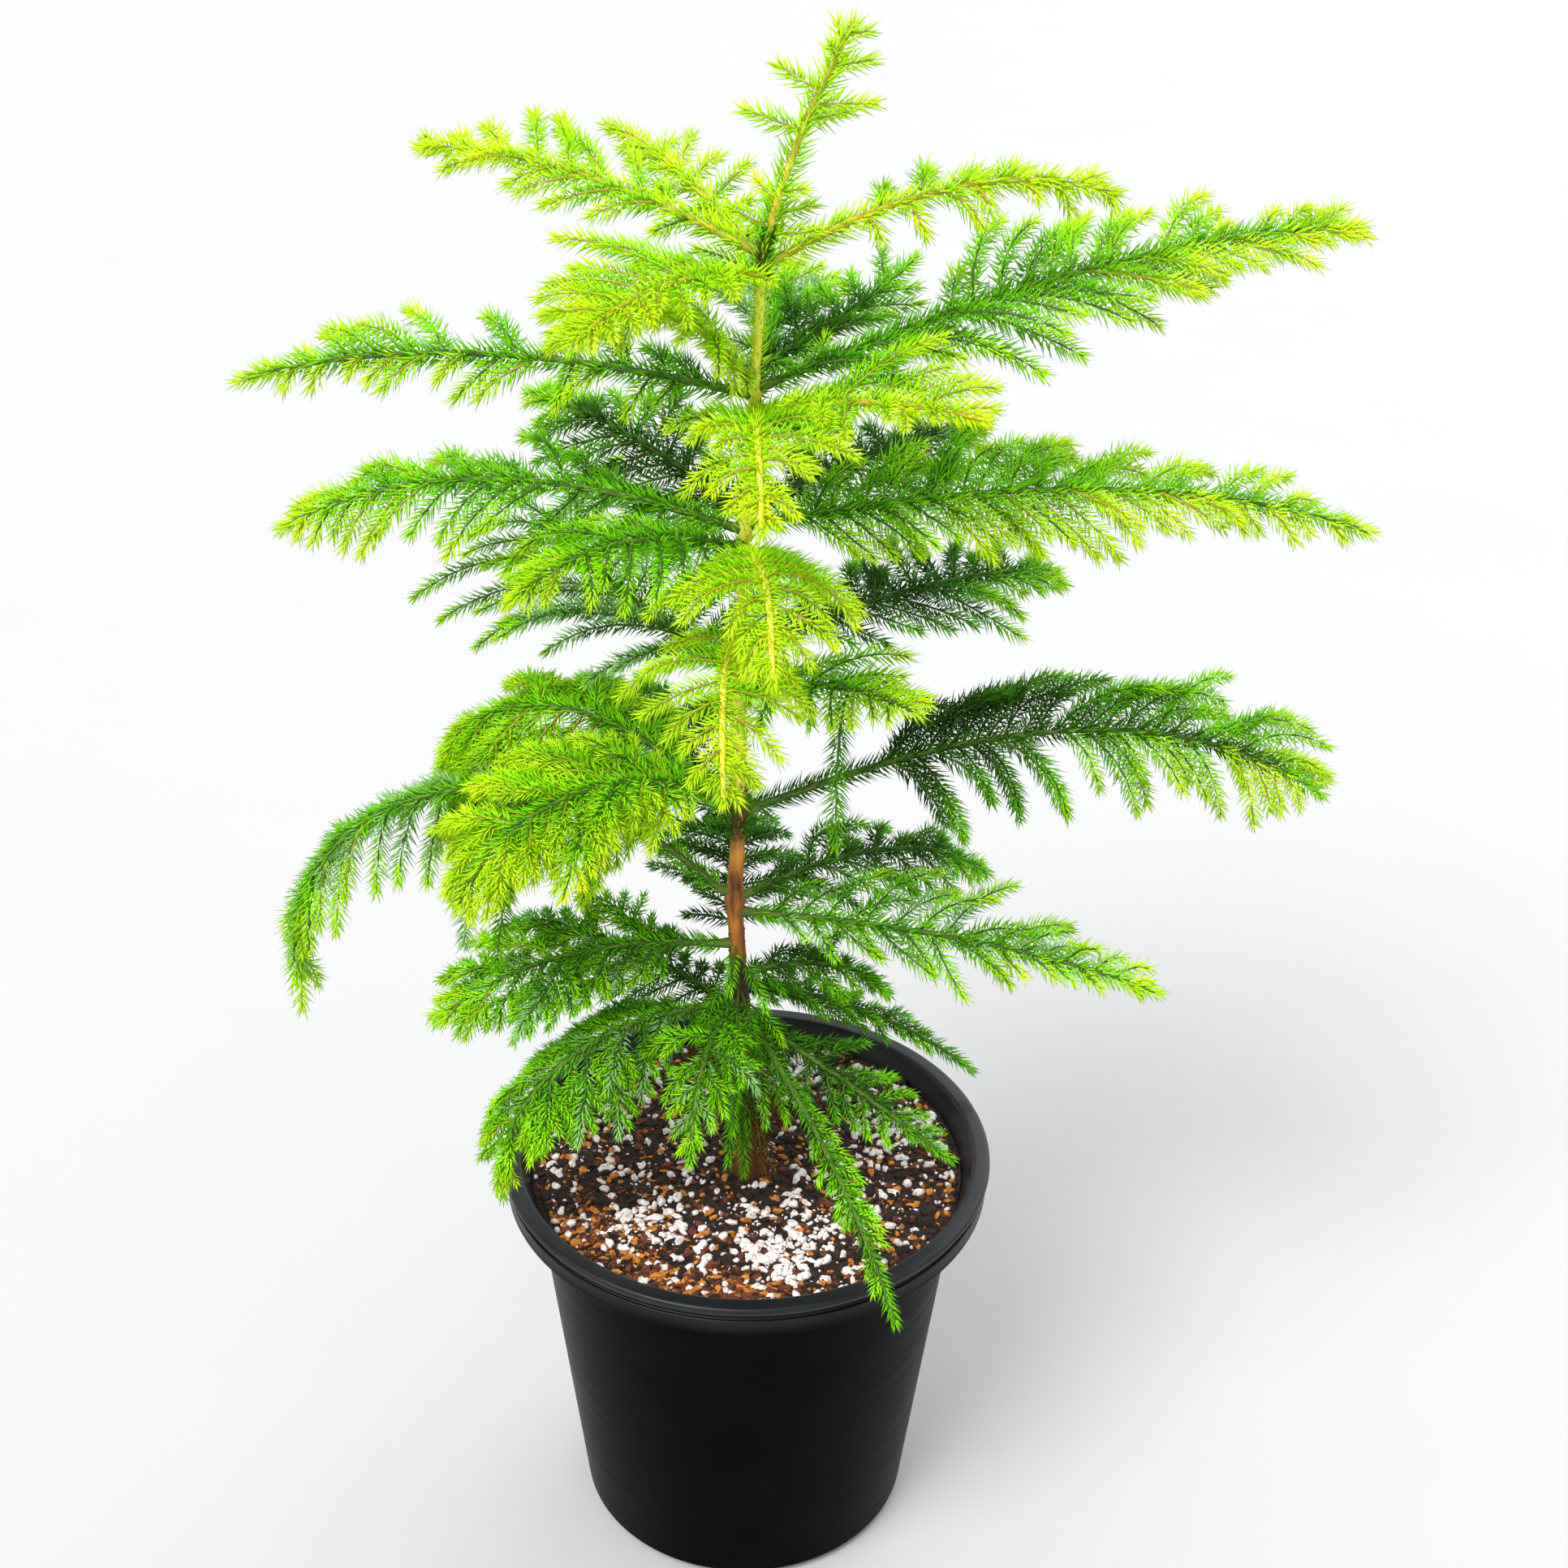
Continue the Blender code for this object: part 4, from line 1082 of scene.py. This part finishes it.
def trunk_relief(point, turn):
    """Shallow furrows, and the cushions that fallen needles leave."""
    place = Vector(point)
    furrows = noise.noise(Vector((place.x * 900, place.y * 900, place.z * 160)))
    grain = noise.noise(place * 1400)
    row = place.z / 0.0021
    cushion = max(0.0, math.cos(row * math.tau)) * max(0.0, math.cos(5 * turn + row * 2.4)) ** 2
    swelling = sum(math.exp(-((place.z - whorl) / WHORL_BREADTH) ** 2) for whorl in WHORLS)
    return 0.00022 * furrows + 0.00010 * grain + 0.00028 * cushion + WHORL_SWELLING * swelling


def limb_relief(point, turn):
    place = Vector(point)
    return 0.00012 * noise.noise(place * 900) + 0.00008 * noise.noise(place * 2400)


def make_trunk(material):
    heights = np.linspace(TRUNK_LINE[0][0] - 0.001, TRUNK_LINE[-1][0], 480)
    points = np.array([trunk_point(max(height, TRUNK_LINE[0][0])) * [1, 1, 0] + [0, 0, height] for height in heights])
    radii = [trunk_radius(max(height, TRUNK_LINE[0][0])) for height in heights]
    radii = np.array(radii) * np.linspace(1.0, 1.0 - SLIMMER_AT_TOP, len(radii))
    corners, triangles, quads = tube_arrays(points, radii, 40, trunk_relief)
    mesh = mesh_of("trunk_bark", corners, triangles, quads)
    add_piece("trunk_bark", mesh, material, "bark", "trunk")


def make_limbs(lines, materials):
    nodes = frame["nodes"]
    for bough, line in zip(BOUGHS, lines):
        size = length_of(line)
        shares = np.linspace(0.0, 1.0 - 0.002 / size, max(12, int(size / 0.0014)))
        points, headings = along(line, shares)
        radii = BOUGH_RADIUS + (BOUGH_TIP_RADIUS - BOUGH_RADIUS) * shares
        radii = radii * (1.0 + 0.7 * np.exp(-shares * size / 0.0035))
        radii = radii * (SUNLIT_STOUTER if bough.name in SUNLIT else 1.0)
        corners, triangles, quads = tube_arrays(points, radii, 8, limb_relief)
        mesh = mesh_of("limb_" + bough.name, corners, triangles, quads)
        replaced = [name for name in ("bough_" + bough.name, "foliage_" + bough.name) if name in nodes]
        if bough.name == WEEPING_BOUGH:
            replaced.append("foliage_" + bough.name + "_hanging")
        # Front boughs take the golden bark: partly painted light
        kind = "sunlit" if bough.name in SUNLIT else bough.shade == "light"
        add_piece("limb_" + bough.name, mesh, materials[kind], "bark", *replaced)


def make_branchlets(branchlets, materials, foliage):
    tubes = {False: [], True: []}
    for twig in branchlets:
        radii = np.linspace(*twig.radii, len(twig.points))
        tubes[twig.tone > YOUNG_TWIG_TONE].append(tube_arrays(twig.points, radii, TWIG_SIDES))
    line = leader_line()
    tubes[True].append(tube_arrays(line, np.linspace(TRUNK_TIP_RADIUS, BOUGH_TIP_RADIUS, len(line)), 8))
    for young, name in ((False, "branchlets_old"), (True, "branchlets_young")):
        add_piece(name, joined_tubes(name, tubes[young]), materials[young], "bark", *foliage)


# Pot and soil


def rounded(points, radius, steps=5):
    """Round the inner corners of an open profile of (radius, height) points."""
    result = [points[0]]
    for before, corner, after in zip(points, points[1:], points[2:]):
        a, b, c = Vector(before), Vector(corner), Vector(after)
        reach = min(radius, (a - b).length * 0.45, (c - b).length * 0.45)
        start = b + (a - b).normalized() * reach
        end = b + (c - b).normalized() * reach
        for step in range(steps + 1):
            share = step / steps
            point = start * (1 - share) ** 2 + b * 2 * share * (1 - share) + end * share ** 2
            result.append(tuple(point))
    return result + [points[-1]]


def body_radius(height):
    share = height / POT_BODY_TOP
    return POT_FOOT_RADIUS + (POT_BODY_TOP_RADIUS - POT_FOOT_RADIUS) * share


def pot_profile():
    """From the middle of the floor inside, up over the lip and down to the middle below."""
    inside = [
        (0.0, POT_FLOOR),
        (body_radius(POT_FLOOR) - POT_WALL, POT_FLOOR),
        (POT_BODY_TOP_RADIUS - POT_WALL, POT_BODY_TOP - POT_WALL),
        (LEDGE_RADIUS, LEDGE_TOP),
    ]
    lip = rounded(
        [(LEDGE_RADIUS, LEDGE_TOP), (LIP_INNER_RADIUS, POT_HEIGHT), (LIP_RADIUS, POT_HEIGHT), (LIP_RADIUS, LIP_BOTTOM)],
        LIP_ROUND,
        8,
    )
    below = [
        (LIP_RADIUS, LIP_BOTTOM),
        (GROOVE_RADIUS, LIP_BOTTOM - 0.0002),
        (GROOVE_RADIUS, COLLAR_TOP),
        (COLLAR_RADIUS, COLLAR_TOP),
        (COLLAR_RADIUS, POT_BODY_TOP),
        (POT_BODY_TOP_RADIUS, POT_BODY_TOP + 0.0004),
        (body_radius(0.003), 0.003),
        (POT_FOOT_RADIUS - 0.0025, 0.0),
        (POT_FOOT_RADIUS - 0.006, 0.0),
        (POT_FOOT_RADIUS - 0.007, 0.0016),
        (0.0, 0.0016),
    ]
    return rounded(inside, EDGE_ROUND)[:-1] + lip[1:-1] + rounded(below, EDGE_ROUND)[1:]


def make_pot(material):
    profile = pot_profile()
    mesh = bpy.data.meshes.new("pot_profile")
    points = [(radius, 0.0, height) for radius, height in profile]
    mesh.from_pydata(points, [(i, i + 1) for i in range(len(points) - 1)], [])
    guide = bpy.data.objects.new("pot_profile", mesh)
    bpy.context.scene.collection.objects.link(guide)
    screw = guide.modifiers.new("turn", "SCREW")
    screw.steps = POT_SEGMENTS
    screw.render_steps = POT_SEGMENTS
    screw.use_merge_vertices = True
    screw.merge_threshold = 1e-5
    turned = bpy.data.meshes.new_from_object(guide.evaluated_get(bpy.context.evaluated_depsgraph_get()))
    bpy.data.objects.remove(guide, do_unlink=True)
    shape = bmesh.new()
    shape.from_mesh(turned)
    bmesh.ops.remove_doubles(shape, verts=shape.verts, dist=1e-6)
    bmesh.ops.recalc_face_normals(shape, faces=shape.faces)
    shape.to_mesh(turned)
    shape.free()
    turned.name = "nursery_pot"
    piece = add_piece("nursery_pot", turned, material, "pot", "pot")
    turned.set_sharp_from_angle(angle=math.radians(40))
    return piece


def soil_height(x, y):
    across = math.hypot(x, y)
    height = SOIL_AT_TRUNK + (SOIL_AT_WALL - SOIL_AT_TRUNK) * across / SOIL_RADIUS
    rough = min(1.0, max(0.0, (across - SOIL_FLAT_RADIUS) / 0.006)) * min(1.0, (SOIL_RADIUS - across) / 0.004)
    bumps = SOIL_BUMP * noise.noise(Vector((x, y, 0.0)) / SOIL_BUMP_SIZE)
    crumbs = 0.0007 * noise.noise(Vector((x, y, 0.0)) / 0.0035) + 0.0004 * noise.noise(Vector((x, y, 0.0)) / 0.0015)
    return height + max(0.0, rough) * (bumps + crumbs)


def make_soil_bed(material):
    """The soil's uneven top with a skirt down inside the pot, closed below."""
    points = [(0.0, 0.0, soil_height(0.0, 0.0))]
    for ring in range(1, SOIL_RINGS + 1):
        radius = SOIL_RADIUS * ring / SOIL_RINGS
        for sector in range(SOIL_SECTORS):
            turn = math.tau * sector / SOIL_SECTORS
            x, y = radius * math.cos(turn), radius * math.sin(turn)
            points.append((x, y, soil_height(x, y)))
    low = SOIL_AT_TRUNK - 0.012
    shrink = (body_radius(low) - POT_WALL - GAP) / SOIL_RADIUS
    rim = points[-SOIL_SECTORS:]
    points += [(x * shrink, y * shrink, low) for x, y, z in rim]
    points.append((0.0, 0.0, low))
    around = np.arange(SOIL_SECTORS)
    after = (around + 1) % SOIL_SECTORS
    starts = 1 + np.arange(SOIL_RINGS + 1) * SOIL_SECTORS
    middle = np.stack([np.zeros(SOIL_SECTORS, int), 1 + around, 1 + after], axis=1)
    under = np.stack([np.full(SOIL_SECTORS, len(points) - 1), starts[-1] + after, starts[-1] + around], axis=1)
    quads = [
        np.stack([inner + around, outer + around, outer + after, inner + after], axis=1)
        for inner, outer in zip(starts, starts[1:])
    ]
    mesh = mesh_of("soil_bed", np.array(points), np.concatenate([middle, under]), np.concatenate(quads))
    add_piece("soil_bed", mesh, material, "soil", "soil")


def lump(rng, subdivisions):
    """The points and faces of one uneven lump about one unit in radius."""
    shape = bmesh.new()
    bmesh.ops.create_icosphere(shape, subdivisions=subdivisions, radius=1.0)
    for vertex in shape.verts:
        vertex.co *= rng.uniform(0.72, 1.2)
    points = np.array([vertex.co for vertex in shape.verts])
    faces = np.array([[vertex.index for vertex in face.verts] for face in shape.faces])
    shape.free()
    return points, faces


def scattered(name, places, sizes, flatness, subdivisions, rng):
    """Lumps at places on the soil, each turned and stretched its own way, joined in one mesh."""
    kinds = [lump(rng, subdivisions) for kind in range(8)]
    points, faces, offset = [], [], 0
    for (x, y), size in zip(places, sizes):
        shape, sides = rng.choice(kinds)
        stretch = np.array([rng.uniform(0.9, 1.7), rng.uniform(0.6, 1.0), flatness * rng.uniform(0.7, 1.2)])
        turn = Matrix.Rotation(rng.uniform(0, math.tau), 3, "Z")
        tilt = Matrix.Rotation(rng.uniform(-0.7, 0.7), 3, "X")
        centre = np.array([x, y, soil_height(x, y) + size * flatness * rng.uniform(0.0, 0.5)])
        points.append(shape * stretch * size @ np.array(turn @ tilt).T + centre)
        faces.append(sides + offset)
        offset += len(shape)
    return mesh_of(name, np.concatenate(points), np.concatenate(faces))


def free_places(count, rng, heaps=(), margin=0.0015):
    """Places on the soil, clear of the trunk and the wall; a share of them lies in heaps."""
    places = []
    while len(places) < count:
        if heaps and rng.random() < IN_HEAPS:
            x, y, spread = rng.choice(heaps)
            place = (rng.gauss(x, spread * 0.55), rng.gauss(y, spread * 0.45))
        else:
            radius, turn = SOIL_RADIUS * math.sqrt(rng.random()), rng.uniform(0, math.tau)
            place = (radius * math.cos(turn), radius * math.sin(turn))
        across = math.hypot(*place)
        if 0.008 < across < SOIL_RADIUS - margin:
            places.append(place)
    return places


def make_soil(materials):
    rng = random.Random(SEED)
    make_soil_bed(materials["soil"])
    for name, share, heaps in BARK_KINDS:
        count = int(BARK_BITS * share)
        sizes = [rng.uniform(*BARK_BIT_SIZE) * rng.uniform(0.6, 1.0) for bit in range(count)]
        mesh = scattered(name, free_places(count, rng, heaps, 0.003), sizes, 0.5, 1, rng)
        add_piece(name, mesh, materials[name], "soil", "soil").data.shade_flat()
    sizes = [PERLITE_SIZE[0] + (PERLITE_SIZE[1] - PERLITE_SIZE[0]) * rng.random() ** 2 for grain in range(PERLITE_GRAINS)]
    places = free_places(PERLITE_GRAINS, rng, PERLITE_HEAPS, 0.003)
    grains = list(zip(places, sizes))
    for name, coarse, subdivisions in (("perlite_fine", False, 1), ("perlite_coarse", True, 2)):
        chosen = [(place, size) for place, size in grains if (size > PERLITE_COARSE_FROM) == coarse]
        mesh = scattered(name, *zip(*chosen), 0.9, subdivisions, rng)
        add_piece(name, mesh, materials["perlite"], "soil", "soil")


# Stage


def make_camera():
    bpy.context.scene.view_settings.view_transform = "Standard"
    data = bpy.data.cameras.new("camera")
    data.lens = CAMERA_LENS
    data.sensor_width = SENSOR_WIDTH
    pitch, yaw, roll = map(math.radians, (CAMERA_PITCH, CAMERA_YAW, CAMERA_ROLL))
    forward = Vector((math.sin(yaw) * math.cos(pitch), math.cos(yaw) * math.cos(pitch), -math.sin(pitch)))
    level = Vector((math.cos(yaw), -math.sin(yaw), 0.0))
    above = level.cross(forward)
    right = level * math.cos(roll) + above * math.sin(roll)
    up = above * math.cos(roll) - level * math.sin(roll)
    camera = bpy.data.objects.new("camera", data)
    rotation = Matrix((right, up, -forward)).transposed().to_4x4()
    camera.matrix_world = Matrix.Translation(CAMERA_PLACE) @ rotation
    bpy.context.scene.collection.objects.link(camera)
    bpy.context.scene.camera = camera


def make_sun(name, place, target, breadth, strength, colour):
    """A broad, soft light from one side, as even as a large studio window's."""
    data = bpy.data.lights.new(name, "SUN")
    data.angle = math.radians(breadth)
    data.energy = strength
    data.color = colour
    lamp = bpy.data.objects.new(name, data)
    lamp.location = place
    lamp.rotation_euler = (Vector(target) - Vector(place)).to_track_quat("-Z", "Y").to_euler()
    bpy.context.scene.collection.objects.link(lamp)


def make_stage():
    mesh = bpy.data.meshes.new("floor")
    shape = bmesh.new()
    bmesh.ops.create_grid(shape, x_segments=1, y_segments=1, size=8.0)
    shape.to_mesh(mesh)
    shape.free()
    floor = bpy.data.objects.new("floor", mesh)
    bpy.context.scene.collection.objects.link(floor)
    mesh.materials.append(floor_material())
    world = bpy.data.worlds.new("studio")
    bpy.context.scene.world = world
    world.use_nodes = True
    backdrop = world.node_tree.nodes["Background"]
    backdrop.inputs["Color"].default_value = (0.97, 0.98, 1.0, 1.0)
    backdrop.inputs["Strength"].default_value = 1.03
    middle = (0.0, 0.0, 0.30)
    make_sun("key", (-0.8, -1.0, 1.9), middle, 30.0, 2.7, (1.0, 0.985, 0.95))
    make_sun("back", (0.7, 1.0, 1.3), middle, 50.0, 0.95, (0.96, 0.98, 1.0))


def main():
    make_camera()
    make_stage()
    foliage = sorted(name for name in frame["nodes"] if name.startswith("foliage_"))
    bark = bark_material()
    lines, branchlets, stems = grow()
    make_trunk(bark)
    twigs = {
        False: twig_material("twigs_old", ((0.045, 0.110, 0.008), (0.080, 0.170, 0.010), (0.130, 0.170, 0.020))),
        True: twig_material("twigs_young", ((0.260, 0.400, 0.010), (0.440, 0.420, 0.015), (0.560, 0.330, 0.025))),
    }
    make_limbs(lines, {**twigs, "sunlit": bark})
    make_branchlets(branchlets, twigs, foliage)
    make_needles(branchlets + stems, foliage)
    make_pot(pot_material())
    make_soil({
        "soil": soil_material(),
        "bark_bits_dark": bit_material("bark_bits_dark", (0.011, 0.004, 0.002)),
        "bark_bits_red": bit_material("bark_bits_red", (0.130, 0.028, 0.007)),
        "bark_bits_tan": bit_material("bark_bits_tan", (0.520, 0.180, 0.016)),
        "perlite": perlite_material(),
    })
    print("branchlets", len(branchlets))


main()
